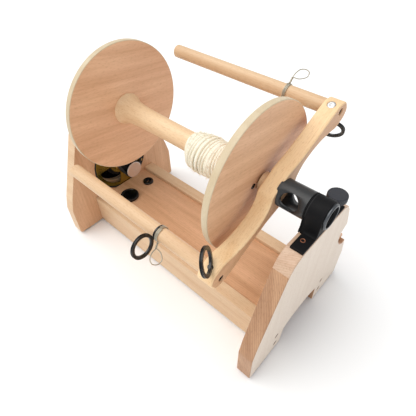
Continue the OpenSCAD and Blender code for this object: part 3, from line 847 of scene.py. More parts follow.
class Solid:
    """A closed mesh under construction, in millimetres."""

    def __init__(self, name: str, place: Matrix = AT_REST) -> None:
        """Starts an empty solid.

        Args:
            name: the name of its object.
            place: its own frame, in the machine's.
        """
        self.name = name
        self.place = place
        self.bm = bmesh.new()

    def _close(self, faces: Iterable[bmesh.types.BMFace], place: Matrix | None) -> None:
        """Smooths new faces, moves them into place and points them outwards.

        Args:
            faces: the new faces.
            place: a move within the solid's own frame.
        """
        faces = list(faces)
        for face in faces:
            face.smooth = True
        verts = list({v for f in faces for v in f.verts})
        bmesh.ops.transform(self.bm, matrix=self.place @ (place or AT_REST), verts=verts)
        bmesh.ops.recalc_face_normals(self.bm, faces=faces)

    def plate(
        self,
        outer: Sequence[Pair],
        y0: float,
        y1: float,
        holes: Sequence[Sequence[Pair]] = (),
        bevel: float = 1.2,
        steps: int = 3,
        faces_finish: int | None = None,
        place: Matrix | None = None,
    ) -> "Solid":
        """A flat piece with an XZ outline, through holes and softened edges.

        Args:
            outer: the outline.
            y0: its front.
            y1: its back.
            holes: outlines cut right through.
            bevel: the radius on every edge.
            steps: segments in that radius.
            faces_finish: finish index of the flat faces and the holes, if it isn't 0.
            place: a move within the solid's own frame.

        Returns:
            The solid itself.
        """
        angles = [math.pi / 2 * k / steps for k in range(steps + 1)]
        profile = [(bevel * (1 - math.sin(a)), y0 + bevel * (1 - math.cos(a))) for a in angles]
        profile += [(d, y0 + y1 - y) for d, y in reversed(profile)]
        made: list[bmesh.types.BMFace] = []
        inner: list[bmesh.types.BMFace] = []
        ends: tuple[list, list] = ([], [])
        for index, outline in enumerate([outer, *holes]):
            loop = anticlockwise(outline)
            sign = 1 if index == 0 else -1
            rings = []
            for depth, y in profile:
                rim = inset(loop, sign * depth)
                rings.append([self.bm.verts.new((x, y, z)) for x, z in rim])
            for lower, upper in zip(rings, rings[1:]):
                count = len(lower)
                for k in range(count):
                    j = (k + 1) % count
                    made.append(self.bm.faces.new((lower[k], lower[j], upper[j], upper[k])))
                    if index:
                        inner.append(made[-1])
            ends[0].append(rings[0])
            ends[1].append(rings[-1])
        for loops in ends:
            made += self._fill(loops)
        flats = {f for f in made if all(abs(v.co.y - y0) < 1e-3 for v in f.verts)}
        flats |= {f for f in made if all(abs(v.co.y - y1) < 1e-3 for v in f.verts)}
        self._close(made, place)
        if faces_finish is not None:
            for face in [*flats, *inner]:
                face.material_index = faces_finish
        return self

    def _fill(self, loops: Sequence[Sequence[bmesh.types.BMVert]]) -> list[bmesh.types.BMFace]:
        """Fills a flat outline with triangles, in the XZ plane, and leaves its holes open.

        Args:
            loops: the outline's vertices, then each hole's.

        Returns:
            The new faces.
        """
        verts = [v for loop in loops for v in loop]
        edges, start = [], 0
        for loop in loops:
            count = len(loop)
            edges += [(start + k, start + (k + 1) % count) for k in range(count)]
            start += count
        flat = [Vector((v.co.x, v.co.z)) for v in verts]
        holes = [[(v.co.x, v.co.z) for v in loop] for loop in loops[1:]]
        found = delaunay_2d_cdt(flat, edges, [], 1, 1e-6)
        made = []
        for face in found[2]:
            corner = [verts[found[3][k][0]] for k in face]
            middle = sum((v.co for v in corner), Vector()) / 3
            if not any(within((middle.x, middle.z), hole) for hole in holes):
                made.append(self.bm.faces.new(corner))
        return made

    def lathe(
        self,
        profile: Sequence[Pair],
        steps: int = 96,
        place: Matrix | None = None,
        finish_by: Callable[[Vector], int] | None = None,
    ) -> "Solid":
        """Turns a closed profile about the Y axis.

        Args:
            profile: the profile, as (radius, y).
            steps: segments round the axis.
            place: a move within the solid's own frame.
            finish_by: gives a face's finish index from its middle, if it isn't 0.

        Returns:
            The solid itself.
        """
        verts = [self.bm.verts.new((r, y, 0)) for r, y in profile]
        edges = [self.bm.edges.new(pair) for pair in zip(verts, [*verts[1:], verts[0]])]
        before = set(self.bm.faces)
        bmesh.ops.spin(
            self.bm,
            geom=[*verts, *edges],
            cent=(0, 0, 0),
            axis=(0, 1, 0),
            angle=math.tau,
            steps=steps,
            use_merge=True,
        )
        made = [f for f in self.bm.faces if f not in before]
        ring = list({v for f in made for v in f.verts})
        bmesh.ops.remove_doubles(self.bm, verts=ring, dist=1e-4)
        loose = [e for e in self.bm.edges if not e.link_faces]
        bmesh.ops.delete(self.bm, geom=loose, context="EDGES")
        made = [f for f in self.bm.faces if f not in before]
        indices = [finish_by(f.calc_center_median()) for f in made] if finish_by else None
        self._close(made, place)
        if indices:
            for face, index in zip(made, indices):
                face.material_index = index
        return self

    def tube(
        self,
        path: Sequence[Vector],
        radius: float | Sequence[float],
        sides: int = 16,
        closed: bool = False,
        place: Matrix | None = None,
    ) -> "Solid":
        """A round bar along a path.

        Args:
            path: the points that it runs through.
            radius: its radius, or one for each point.
            sides: how many sides it has.
            closed: whether it is a loop; otherwise its ends are flat.
            place: a move within the solid's own frame.

        Returns:
            The solid itself.
        """
        count = len(path)
        radii = [radius] * count if isinstance(radius, (int, float)) else list(radius)
        tangents = []
        for i in range(count):
            a = path[i - 1] if closed or i else path[0]
            b = path[(i + 1) % count] if closed or i < count - 1 else path[-1]
            tangents.append((b - a).normalized())
        normal = tangents[0].orthogonal().normalized()
        normals = [normal]
        for a, b in zip(tangents, tangents[1:]):
            normal = (a.rotation_difference(b) @ normal).normalized()
            normals.append(normal)
        if closed:
            twist = self._closing_twist(tangents, normals)
            normals = [
                Matrix.Rotation(twist * i / count, 3, t) @ n
                for i, (t, n) in enumerate(zip(tangents, normals))
            ]
        rings = []
        for point, tangent, n, r in zip(path, tangents, normals, radii):
            side = tangent.cross(n)
            rings.append(
                [
                    self.bm.verts.new(
                        point
                        + n * r * math.cos(math.tau * k / sides)
                        + side * r * math.sin(math.tau * k / sides)
                    )
                    for k in range(sides)
                ]
            )
        made = []
        pairs = list(zip(rings, rings[1:]))
        if closed:
            pairs.append((rings[-1], rings[0]))
        for lower, upper in pairs:
            for k in range(sides):
                j = (k + 1) % sides
                made.append(self.bm.faces.new((lower[k], lower[j], upper[j], upper[k])))
        if not closed:
            made.append(self.bm.faces.new(rings[0]))
            made.append(self.bm.faces.new(list(reversed(rings[-1]))))
        self._close(made, place)
        return self

    def hair(self, path: Sequence[Vector], width: float) -> None:
        """A fine three-sided fibre that runs to a point.

        Args:
            path: its points, from the root to the tip.
            width: its radius at the root.
        """
        rings = []
        along = (path[-1] - path[0]).normalized()
        side = along.orthogonal()
        other = along.cross(side)
        for point in path[:-1]:
            corner = [
                point + width * (side * math.cos(a) + other * math.sin(a))
                for a in (0, math.tau / 3, math.tau * 2 / 3)
            ]
            rings.append([self.bm.verts.new(self.place @ c) for c in corner])
        tip = self.bm.verts.new(self.place @ path[-1])
        made = [self.bm.faces.new(rings[0])]
        for lower, upper in zip(rings, rings[1:]):
            for k in range(3):
                made.append(self.bm.faces.new((lower[k - 1], lower[k], upper[k], upper[k - 1])))
        made += [self.bm.faces.new((rings[-1][k - 1], rings[-1][k], tip)) for k in range(3)]
        for face in made:
            face.smooth = True

    @staticmethod
    def _closing_twist(tangents: list[Vector], normals: list[Vector]) -> float:
        """The angle that brings the last ring of a closed bar round to its first.

        Args:
            tangents: the bar's direction at each point.
            normals: the direction of each ring's first vertex.

        Returns:
            The angle.
        """
        last = (tangents[-1].rotation_difference(tangents[0]) @ normals[-1]).normalized()
        angle = last.angle(normals[0])
        return angle if last.cross(normals[0]).dot(tangents[0]) > 0 else -angle

    def block(self, low: Triple, high: Triple, bevel: float = 0.8) -> "Solid":
        """A box with softened edges.

        Args:
            low: its lowest corner.
            high: its highest corner.
            bevel: the radius on every edge.

        Returns:
            The solid itself.
        """
        before = set(self.bm.faces)
        size = Vector(high) - Vector(low)
        centre = (Vector(high) + Vector(low)) / 2
        made = bmesh.ops.create_cube(
            self.bm, size=1, matrix=Matrix.Translation(centre) @ Matrix.Diagonal((*size, 1))
        )
        edges = list({e for v in made["verts"] for e in v.link_edges})
        bmesh.ops.bevel(
            self.bm,
            geom=edges,
            offset=bevel,
            offset_type="OFFSET",
            segments=3,
            profile=0.5,
            affect="EDGES",
            material=-1,
            clamp_overlap=True,
        )
        self._close([f for f in self.bm.faces if f not in before], None)
        return self

    def finish(
        self,
        palette: Palette,
        body: Body,
        finishes: Sequence[Finish],
        slot: str,
        replaces: Sequence[str] = (),
        sharp: float = 40.0,
    ) -> bpy.types.Object:
        """Makes the object, in the row frame and in metres, and fixes it to its body.

        Args:
            palette: where the materials come from.
            body: the CAD body that it rides on.
            finishes: its finishes, in the order of its faces' indices.
            slot: its material slot in the record; not used.
            replaces: the CAD nodes that it stands in for.
            sharp: the angle, in degrees, past which an edge stays sharp.

        Returns:
            The object.
        """
        bmesh.ops.transform(self.bm, matrix=TO_ROW, verts=self.bm.verts)
        bmesh.ops.recalc_face_normals(self.bm, faces=self.bm.faces)
        mesh = bpy.data.meshes.new(self.name)
        self.bm.to_mesh(mesh)
        self.bm.free()
        mesh.set_sharp_from_angle(angle=math.radians(sharp))
        for finish in finishes:
            mesh.materials.append(palette[finish])
        obj = bpy.data.objects.new(self.name, mesh)
        bpy.context.scene.collection.objects.link(obj)
        even = obj.modifiers.new("even_normals", "WEIGHTED_NORMAL")
        even.keep_sharp = True
        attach(obj, body.value)
        if replaces:
            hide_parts(*replaces)
        log.info("%s: %d faces on %s", self.name, len(mesh.polygons), body.value)
        return obj


# ---------------------------------------------------------------------------- sub-assemblies


@dataclass
class SubAssembly:
    """A group of pieces that are dressed from one palette."""

    palette: Palette

    def dress(
        self,
        solid: Solid,
        body: Body,
        slot: str,
        finishes: Sequence[Finish],
        *replaces: str,
        sharp: float = 40.0,
    ) -> bpy.types.Object:
        """Finishes a solid with this sub-assembly's palette.

        Args:
            solid: the solid.
            body: the CAD body that it rides on.
            slot: its material slot in the record.
            finishes: its finishes, in the order of its faces' indices.
            replaces: the CAD nodes that it stands in for.
            sharp: the angle, in degrees, past which an edge stays sharp.

        Returns:
            The finished object.
        """
        return solid.finish(self.palette, body, finishes, slot, replaces, sharp)


@dataclass
class Stand(SubAssembly):
    """End boards, rails, floor, feet, screws and the forked rest."""

    board_half: Outline = (
        (46.4, 0), (121, 0), (121, 58), (114, 83), (72, 193), (62, 206.5), (48, 213),
    )
    board_half_r: Radii = (1.5, 4, 25, 30, 20, 12, 12)
    arch: Outline = (
        (-43, 36), (-34, 39.4), (-18, 43), (0, 44.3), (18, 43), (34, 39.4), (43, 36),
    )
    arch_r: Radii = (5, 18, 40, 60, 40, 18, 5)
    notch: Outline = (
        (87.4, 152.6), (73.5, 143), (75.2, 125), (86, 108), (100, 96.5), (108.6, 97),
    )
    notch_r: Radii = (0, 6, 6, 10, 8, 0)
    top_edge: float = 197.0
    motor_opening: float = PLATE_R + 3
    screw_spots: Outline = ((-61.0, 16.0), (-61.0, 39.0), (61.0, 16.0), (61.0, 39.0))
    screw_cup: Outline = (
        (0, 1.4), (1.6, 1.4), (1.9, 0.7), (4.0, 0.6), (4.0, 1.2), (2, 3), (2, 12), (0, 12),
    )
    screw_hole: float = 4.4
    floor_thickness: float = 9.0
    rest_upper: Outline = ((77.4, 136), (87, 155), (111, 129), (103, 122.6), (84, 138))
    rest_upper_r: Radii = (2, 2, 3, 3, 2)
    rest_lower: Outline = (
        (77, 124.8), (78, 133), (109, 109.5), (114.5, 100), (105.4, 98), (86.8, 112),
    )
    rest_lower_r: Radii = (2, 2, 3, 3, 3, 2)
    rest_web: Outline = ((76.9, 127), (77.2, 135), (90, 137), (92, 121))
    rest_front: float = FRONT_Y + 4
    rest_back: float = FRONT_Y + 16
    pad: Outline = ((0, 0), (7, 0), (7.9, 3), (0, 3))
    pad_x: Radii = (-108, -62, 62, 108)

    def build(self) -> None:
        """Makes every piece of the stand."""
        self._front_board()
        self._rear_board()
        self._rails()
        self._floor()
        self._rest()
        self._screws()
        self._feet()

    def _board_outline(self, notched: bool) -> list[Pair]:
        """The outline of an end board.

        Args:
            notched: whether its right shoulder is cut out for the forked rest.

        Returns:
            The outline, in the machine's frame.
        """
        right, right_r = list(self.board_half), list(self.board_half_r)
        left = [(-x, z) for x, z in reversed(self.board_half)]
        left_r = list(reversed(self.board_half_r))
        if notched:
            right[4:4] = reversed(self.notch)
            right_r[4:4] = reversed(self.notch_r)
        soft = rounded([*right, *left, *self.arch], [*right_r, *left_r, *self.arch_r], 7)
        return [(x, z + FOOT_H) for x, z in soft]

    def _screw_holes(self) -> list[list[Pair]]:
        """The holes for the rails' screws, as outlines."""
        return [circle(self.screw_hole, (x, z + FOOT_H), 32) for x, z in self.screw_spots]

    def _front_board(self) -> None:
        """The front board: pale faces, end grain round the sides and along the top; the sides
        darker and the top lighter, partly grain, partly painted shade and painted light by which
        way they face.
        """
        solid = Solid("front_board_wood")
        outline, back = self._board_outline(True), FRONT_Y + BOARD_T
        solid.plate(outline, FACE_Y, back, self._screw_holes(), 1.3, faces_finish=1)
        # Edge faces above the top line take the lighter top wood: partly painted light on the
        # upward face.
        for face in solid.bm.faces:
            if face.material_index == 0 and face.calc_center_median().z > self.top_edge + FOOT_H:
                face.material_index = 2
        finishes = [Finish.BOARD_EDGE, Finish.BOARD_FACE, Finish.BOARD_TOP]
        self.dress(solid, Body.STAND, "pale_wood", finishes, "front_board")

    def _rear_board(self) -> None:
        """The rear board, and the step behind the motor's opening."""
        solid = Solid("rear_board_wood")
        holes = [*self._screw_holes(), circle(self.motor_opening, (0, MOTOR_Z), 96)]
        outline = self._board_outline(False)
        # The flat faces take the browner face wood: partly painted shade from under the disc.
        solid.plate(outline, BACK_Y, BACK_Y + BOARD_T, holes, 0.6, faces_finish=1)
        self.dress(
            solid, Body.STAND, "pale_wood", [Finish.RAIL, Finish.REAR_FACE], "rear_board"
        )
        ring = Solid("rear_board_step", ON_MOTOR)
        step = band(46, self.motor_opening + 0.2, BACK_Y + 11.2, BACK_Y + 19.5)
        ring.lathe(soft_profile(step, 0.4))
        self.dress(ring, Body.STAND, "pale_wood", [Finish.RAIL])

    def _rails(self) -> None:
        """The two rails between the boards."""
        for name, side in (("left_rail", -1), ("right_rail", 1)):
            solid = Solid(name + "_wood")
            low, high = sorted((side * RAIL_OUT, side * (RAIL_OUT - RAIL_T)))
            front, back = FRONT_Y + BOARD_T, BACK_Y
            solid.block((low, front, FOOT_H + 0.5), (high, back, RAIL_TOP), 1.2)
            self.dress(solid, Body.STAND, "pale_wood", [Finish.RAIL], name)

    def _floor(self) -> None:
        """The panel between the rails."""
        half = RAIL_OUT - RAIL_T - 0.15
        low = (-half, FRONT_Y + BOARD_T + 0.1, FLOOR_TOP - self.floor_thickness)
        solid = Solid("floor_panel_wood")
        solid.block(low, (half, BACK_Y - 0.1, FLOOR_TOP), 0.4)
        self.dress(solid, Body.STAND, "brown_ply", [Finish.FLOOR], "floor_panel")

    def _rest(self) -> None:
        """The forked rest: two prongs and the web that joins them, in a browner wood that paints
        their shade.
        """
        solid = Solid("hook_rest_wood")
        front, back = self.rest_front, self.rest_back
        for prong, radii in (
            (self.rest_upper, self.rest_upper_r),
            (self.rest_lower, self.rest_lower_r),
        ):
            solid.plate(rounded(prong, radii, 4), front, back, bevel=0.8)
        solid.plate(self.rest_web, front + 8, back, bevel=0.5)
        self.dress(solid, Body.STAND, "brown_wood", [Finish.REST], "hook_rest")

    def _screws(self) -> None:
        """The eight countersunk screws into the rails."""
        solid = Solid("rail_screw_heads")
        for x, z in self.screw_spots:
            for y, turn in ((FACE_Y, 0), (BACK_Y + BOARD_T, math.pi)):
                spot = Matrix.Translation((x, y, z + FOOT_H))
                solid.lathe(self.screw_cup, 32, spot @ Matrix.Rotation(turn, 4, "Z"))
        self.dress(solid, Body.STAND, "dark_screw", [Finish.DARK_SCREW], "rail_screws")

    def _feet(self) -> None:
        """The eight rubber pads under the boards."""
        solid = Solid("rubber_pads")
        for x in self.pad_x:
            for y in (FRONT_Y + BOARD_T / 2, BACK_Y + BOARD_T / 2):
                place = Matrix.Translation((x, y, 0)) @ UPRIGHT
                solid.lathe(soft_profile(self.pad, 0.7), 32, place)
        self.dress(solid, Body.STAND, "rubber", [Finish.RUBBER], "rubber_feet")


@dataclass
class FrontBearing(SubAssembly):
    """The black housing, its screw and the tension knob."""

    bore: float = 16.65
    shell_r: float = 18.2
    core_r: float = 17.4
    ears: Outline = ((18.15, 240.0), (19.5, 223), (21.5, 219.5), (47.5, 219.5), (47.5, 216.05))
    ears_r: Radii = (0, 8, 3, 1, 0)
    neck: Outline = ((18.15, 240.0), (19.5, 223), (21, 219.5), (22, 216.05))
    core: Outline = ((17.4, 240.0), (18.6, 223), (20.1, 219.5), (21, 216.05))
    neck_r: Radii = (0, 8, 3, 0)
    ears_y: Pair = (-92, -75)
    neck_front_y: Pair = (-75.6, -71.8)
    neck_back_y: Pair = (-70.6, -69.1)
    core_y: Pair = (-72, -70.4)
    shoe: Outline = (
        (15.9, -91.4), (16.6, -91.4), (16.6, -72), (17.5, -71.9), (17.5, -70.5), (16.6, -70.4),
        (16.6, -69.4), (15.9, -69.4),
    )
    screw_dome: Outline = (
        (0, 0.5), (1.7, 0.5), (1.9, 1.7), (2.6, 1.9), (3.6, 1.2), (3.9, 0.1), (0, 0.1),
    )
    screw_z: float = 218.0
    spring_r: float = 4.4
    spring_z: float = 220.5
    spring_pitch: float = 1.85
    spring_turns: float = 3.6
    spring_wire: float = 0.7
    knob_r: float = 12.15
    knob_flute: float = 0.22
    knob_flutes: int = 36
    knob_low: float = 235.4
    knob_high: float = 243.6
    knob_disc: Outline = (
        (0, 243), (11, 243), (11, 244), (10.2, 244), (9.8, 243.7), (0, 243.7),
    )

    def build(self) -> None:
        """Makes the housing and what is screwed to it."""
        self._housing()
        self._shoe()
        self._screw()
        self._spring()
        self._knob()

    def _housing(self) -> None:
        """The housing: an eared front, two bands of neck and a narrower core in the groove."""
        solid = Solid("housing_shell")
        bore = circle(self.bore, (0, SPINDLE_Z), 72)
        for side, radii, arc_r, reach, bevel in (
            (self.ears, self.ears_r, self.shell_r, self.ears_y, 0.6),
            (self.neck, self.neck_r, self.shell_r, self.neck_front_y, 0.4),
            (self.neck, self.neck_r, self.shell_r, self.neck_back_y, 0.3),
            (self.core, self.neck_r, self.core_r, self.core_y, 0.1),
        ):
            solid.plate(saddle(side, radii, arc_r), *reach, [bore], bevel)
        self.dress(solid, Body.STAND, "black_plastic", [Finish.BLACK], "bearing_housing")

    def _shoe(self) -> None:
        """The brake shoe between housing and tube."""
        solid = Solid("brake_shoe", ON_SPINDLE)
        solid.lathe(self.shoe, 96)
        self.dress(solid, Body.STAND, "liner", [Finish.RUBBER], "brake_liner")

    def _screw(self) -> None:
        """The copper-coloured screw in the left ear."""
        solid = Solid("housing_screw_head", Matrix.Translation((*SCREW_AT, self.screw_z)))
        solid.lathe(self.screw_dome, 40, UPRIGHT)
        self.dress(solid, Body.STAND, "copper_screw", [Finish.COPPER], "housing_screw")

    def _spring(self) -> None:
        """The spring under the tension knob."""
        solid = Solid("tension_spring_wire", Matrix.Translation((*KNOB_AT, 0)))
        coil = helix(self.spring_r, self.spring_z, self.spring_pitch, self.spring_turns)
        solid.tube(coil, self.spring_wire, 12, place=UPRIGHT)
        self.dress(solid, Body.STAND, "steel", [Finish.STEEL], "tension_spring")

    def _knob(self) -> None:
        """The tension knob: a fluted grip, its collar and a sunk disc on top."""
        solid = Solid("tension_knob_cap", Matrix.Translation((*KNOB_AT, 0)))
        grip = fluted(self.knob_r, self.knob_flute, self.knob_flutes, 180)
        solid.plate(grip, self.knob_low, self.knob_high, [], 0.9, place=UPRIGHT)
        solid.lathe(soft_profile(band(3.06, 6.5, 228, self.knob_low + 0.4), 0.5), 64, UPRIGHT)
        solid.lathe(soft_profile(self.knob_disc, 0.15), 96, UPRIGHT)
        self.dress(solid, Body.TENSION, "black_plastic", [Finish.KNOB], "tension_knob")


@dataclass
class Flyer(SubAssembly):
    """Orifice tube, yoke, arms, rings and the spindle's wooden spacer."""

    tube: Outline = (
        (13.5, -91.8), (15.8, -91.8), (15.8, -68.6), (18, -68.5), (18, -29.1), (4.9, -29.1),
        (4.9, -30.5), (13.5, -30.5),
    )
    side_hole_r: float = 12.25
    side_hole_y: float = -48.7
    side_hole_turn: float = -167.0
    lip: Outline = (
        (13.5, -91.9), (13.5, -95.4), (15.3, -95.4), (16.5, -94), (16.5, -92.4), (15, -92.2),
        (15, -91.9),
    )
    yoke_half: Outline = (
        (16, 18), (40, 13.5), (72, 12.5), (104, 13), (126, 11.8), (139, 4), (140, -11),
        (131, -19), (112, -18.5), (96, -10), (80, -3.5), (62, 0), (44, 0.5), (28, -5), (18, -16),
    )
    yoke_half_r: Radii = (14, 60, 90, 60, 20, 9, 9, 12, 20, 40, 40, 40, 30, 25, 8)
    hub_r: float = 22.4
    ring_angles: tuple[float, float] = (-74.0, -33.5)
    ring_screw_shift: float = 1.5
    ring_screw_pocket: float = 5.7
    ring_stem_r: float = 3.4
    ring_stem_z: Pair = (-21.0, -14.8)
    spacer_r: float = 12.9
    spacer_y: Pair = (-9.9, -2.1)
    ring_screw: Outline = (
        (0, 9.5), (5.3, 9.5), (5.3, 10.6), (4.6, 11.3), (3.2, 11.6), (2.1, 11.5), (1.9, 10.9),
        (0, 10.9),
    )
    arm_screw: Outline = ((0, 3.9), (1.8, 3.9), (1.8, 1.5), (4, 1.5), (4, 4.9), (0, 4.9))
    arm_root: float = YOKE_BACK - 4.9

    def build(self) -> None:
        """Makes everything that turns with the flyer."""
        self._tube()
        self._yoke()
        self._arms()
        self._rings()
        self._spacer()

    def _tube(self) -> None:
        """The tube, with its round side holes cut right through, and its bright lip."""
        solid = Solid("orifice_tube_body", ON_SPINDLE)
        solid.lathe(soft_profile(self.tube, 0.45), 128)
        finishes = [Finish.TUBE]
        body = self.dress(solid, Body.FLYER, "black_plastic", finishes, "orifice_tube", sharp=30)
        turn = Matrix.Rotation(math.radians(self.side_hole_turn), 4, "Y")
        cutter = Solid("orifice_cutter", ON_SPINDLE @ turn)
        drill = Matrix.Translation((0, self.side_hole_y, 0)) @ Matrix.Rotation(math.pi / 2, 4, "Z")
        cutter.lathe(band(0, self.side_hole_r, -30, 30), 64, drill)
        self._cut(body, cutter)
        lip = Solid("orifice_lip", ON_SPINDLE)
        lip.lathe(soft_profile(self.lip, 0.3), 128)
        self.dress(lip, Body.FLYER, "dark_steel", [Finish.LIP], "orifice_collar")

    @staticmethod
    def _cut(target: bpy.types.Object, cutter: Solid) -> None:
        """Cuts a solid out of an object for good, and leaves no modifier behind.

        Args:
            target: the finished object.
            cutter: what is cut out of it.
        """
        bmesh.ops.transform(cutter.bm, matrix=TO_ROW, verts=cutter.bm.verts)
        mesh = bpy.data.meshes.new(cutter.name)
        cutter.bm.to_mesh(mesh)
        cutter.bm.free()
        tool = bpy.data.objects.new(cutter.name, mesh)
        bpy.context.scene.collection.objects.link(tool)
        cut = target.modifiers.new("cut", "BOOLEAN")
        cut.operation, cut.solver, cut.object = "DIFFERENCE", "EXACT", tool
        target.modifiers.move(len(target.modifiers) - 1, 0)
        bpy.context.view_layer.update()
        view = target.evaluated_get(bpy.context.evaluated_depsgraph_get())
        cut_mesh = bpy.data.meshes.new_from_object(view)
        old = target.data
        target.modifiers.clear()
        target.data = cut_mesh
        cut_mesh.name = old.name + "_cut"
        bpy.data.meshes.remove(old)
        bpy.data.objects.remove(tool)
        bpy.data.meshes.remove(mesh)

    def _yoke(self) -> None:
        """The S-shaped yoke with its hub, and a pocket for each ring's screw."""
        solid = Solid("yoke_wood", ON_FLYER)
        corner = [*self.yoke_half, *[(-x, -z) for x, z in self.yoke_half]]
        outline = rounded(corner, self.yoke_half_r * 2, 6)
        holes = [circle(4.1, (s * ARM_R, 0), 32) for s in (-1, 1)]
        solid.plate(outline, YOKE_FRONT, YOKE_BACK, holes, 1.8, 4, faces_finish=1)
        hub = band(0, self.hub_r, YOKE_FRONT + 0.01, YOKE_BACK - 0.01)
        solid.lathe(soft_profile(hub, 1.6, 4), 96)
        # The flat faces take the darker side wood: partly their own tone, partly painted shade.
        finishes = [Finish.YOKE, Finish.YOKE_SIDE]
        yoke = self.dress(solid, Body.FLYER, "pale_wood", finishes, "yoke")
        pockets = Solid("yoke_pockets", ON_FLYER)
        for turn in (AT_REST, HALF_TURN):
            pocket = band(0, self.ring_screw_pocket, 9.4, 16)
            pockets.lathe(pocket, 48, self._ring_screw_place(turn))
        self._cut(yoke, pockets)

    def _ring_screw_place(self, turn: Matrix) -> Matrix:
        """Where a ring's screw stands in the yoke, upright, on the side that turn gives."""
        return turn @ Matrix.Translation((RING_U + self.ring_screw_shift, RING_Y, 0)) @ UPRIGHT

    def _arms(self) -> None:
        """The two dowel arms and the black screws into their ends."""
        for name, side, end in (("arm_upper", 1, UPPER_END), ("arm_lower", -1, LOWER_END)):
            solid = Solid(name + "_wood", ON_FLYER)
            rod = rounded(band(0, ARM_RAD, self.arm_root, end), [0, 0.5, 2.2, 0], 5)
            solid.lathe(rod, 64, Matrix.Translation((side * ARM_R, 0, 0)))
            self.dress(solid, Body.FLYER, "dowel", [Finish.DOWEL], name)
        heads = Solid("arm_screw_heads", ON_FLYER)
        for side in (-1, 1):
            head = soft_profile(shifted(self.arm_screw, YOKE_FRONT), 0.3)
            heads.lathe(head, 40, Matrix.Translation((side * ARM_R, 0, 0)))
        self.dress(heads, Body.FLYER, "black_screw", [Finish.GLOSS], "arm_screws")

    def _rings(self) -> None:
        """The two grooved rings at the yoke's ends, with stems and bright screws."""
        rings = Solid("yoke_ring_set", ON_FLYER)
        screws = Solid("ring_screw_heads", ON_FLYER)
        for turn, angle in zip((AT_REST, HALF_TURN), self.ring_angles):
            swivel = Matrix.Rotation(math.radians(angle), 4, "Z")
            place = turn @ Matrix.Translation((RING_U, RING_Y, RING_W)) @ swivel
            rings.lathe(ring_section(), 96, place)
            upright = self._ring_screw_place(turn)
            stem = band(0, self.ring_stem_r, *self.ring_stem_z)
            rings.lathe(soft_profile(stem, 0.3), 32, upright)
            screws.lathe(soft_profile(self.ring_screw, 0.2), 48, upright)
        self.dress(rings, Body.FLYER, "gloss_black", [Finish.GLOSS], "yoke_rings")
        self.dress(screws, Body.FLYER, "chrome", [Finish.CHROME], "ring_screws")

    def _spacer(self) -> None:
        """The wooden spacer behind the yoke."""
        solid = Solid("spindle_spacer_wood", ON_SPINDLE)
        solid.lathe(soft_profile(band(5.1, self.spacer_r, *self.spacer_y), 1.2), 64)
        self.dress(solid, Body.FLYER, "pale_wood", [Finish.DOWEL], "spindle_spacer")


@dataclass
class Hooks(SubAssembly):
    """The two sliding wire hooks and the ring beside the lower one."""

    wire: float = 0.75
    coil_lead: float = 2.4
    coil_pitch: float = 1.6
    coil_turns: float = 3
    coil_start: float = 60.0
    stem_twists: float = 1.5
    upper_y: float = 46.0
    upper_root: Pair = (131.6, 8.4)
    upper_loop: Outline = (
        (141, 11.4), (149, 11.2), (159, 6.2), (170, -5.5), (176, -17), (171.5, -20.5), (163, -15),
        (152, -4.5), (144.5, 5.5),
    )
    lower_y: float = 67.5
    lower_root: Pair = (-134.8, -4.2)
    lower_loop: Outline = (
        (-144.2, -10.2), (-153, -9.6), (-160.4, -16), (-163.4, -28), (-159.4, -39.5),
        (-152, -40.5), (-145.6, -28), (-143.6, -17),
    )
    ring_at: Triple = (-151, 71, 12.5)
    ring_turn: Pair = (5, -4)
    clip_r: float = 10.9
    clip_y: Pair = (70.1, 72.6)
    lug_low: Triple = (-138.5, 70.2, 2)
    lug_high: Triple = (-133, 72.4, 7)

    def build(self) -> None:
        """Makes both hooks and the ring."""
        self._hook("upper", Body.UPPER_HOOK, 1, self.upper_y, self.upper_root, self.upper_loop)
        self._hook("lower", Body.LOWER_HOOK, -1, self.lower_y, self.lower_root, self.lower_loop)
        self._ring()

    def _ring(self) -> None:
        """The grooved ring, its black band round the arm and the lug between them."""
        ring = Solid("hook_ring_clip", ON_FLYER)
        about_z, about_x = (math.radians(a) for a in self.ring_turn)
        swivel = Matrix.Rotation(about_z, 4, "Z") @ Matrix.Rotation(about_x, 4, "X")
        ring.lathe(ring_section(), 96, Matrix.Translation(self.ring_at) @ swivel)
        clip = soft_profile(band(ARM_RAD + 0.08, self.clip_r, *self.clip_y), 0.3)
        ring.lathe(clip, 64, Matrix.Translation((-ARM_R, 0, 0)))
        ring.block(self.lug_low, self.lug_high, 0.5)
        self.dress(ring, Body.LOWER_HOOK, "gloss_black", [Finish.GLOSS], "hook_ring")

    def _hook(
        self, name: str, body: Body, side: int, y: float, root: Pair, loop: Sequence[Pair]
    ) -> None:
        """A coil round the arm, a twisted stem and a teardrop loop.

        Args:
            name: which hook, upper or lower.
            body: the body that slides with it.
            side: 1 for the upper arm, -1 for the lower.
            y: where it stands along the arm.
            root: where its stem leaves the coil, as (across, up) in the flyer's frame.
            loop: the points that its loop runs through, from the stem's end.
        """
        solid = Solid(f"hook_{name}_wire", ON_FLYER)
        start = math.radians(self.coil_start)
        reach = ARM_RAD + 0.1 + self.wire
        around = helix(reach, y - self.coil_lead, self.coil_pitch, self.coil_turns, start, 40)
        shift = Vector((side * ARM_R, 0, 0))
        solid.tube([point + shift for point in around], self.wire, 12)
        run_u, run_w = loop[0][0] - root[0], loop[0][1] - root[1]
        across = Vector((-run_w, 0, run_u)).normalized()
        for phase in (0, math.pi):
            stem = []
            for k in range(25):
                t = k / 24
                a = phase + t * math.tau * self.stem_twists
                point = Vector((root[0] + run_u * t, y, root[1] + run_w * t))
                twist = across * math.cos(a) + Vector((0, 1, 0)) * math.sin(a)
                stem.append(point + twist * self.wire)
            solid.tube(stem, self.wire, 12)
        path = smooth_path([Vector((u, y, w)) for u, w in loop], True, 10)
        solid.tube(path, self.wire, 12, closed=True)
        self.dress(solid, body, "wire", [Finish.WIRE], f"hook_{name}")


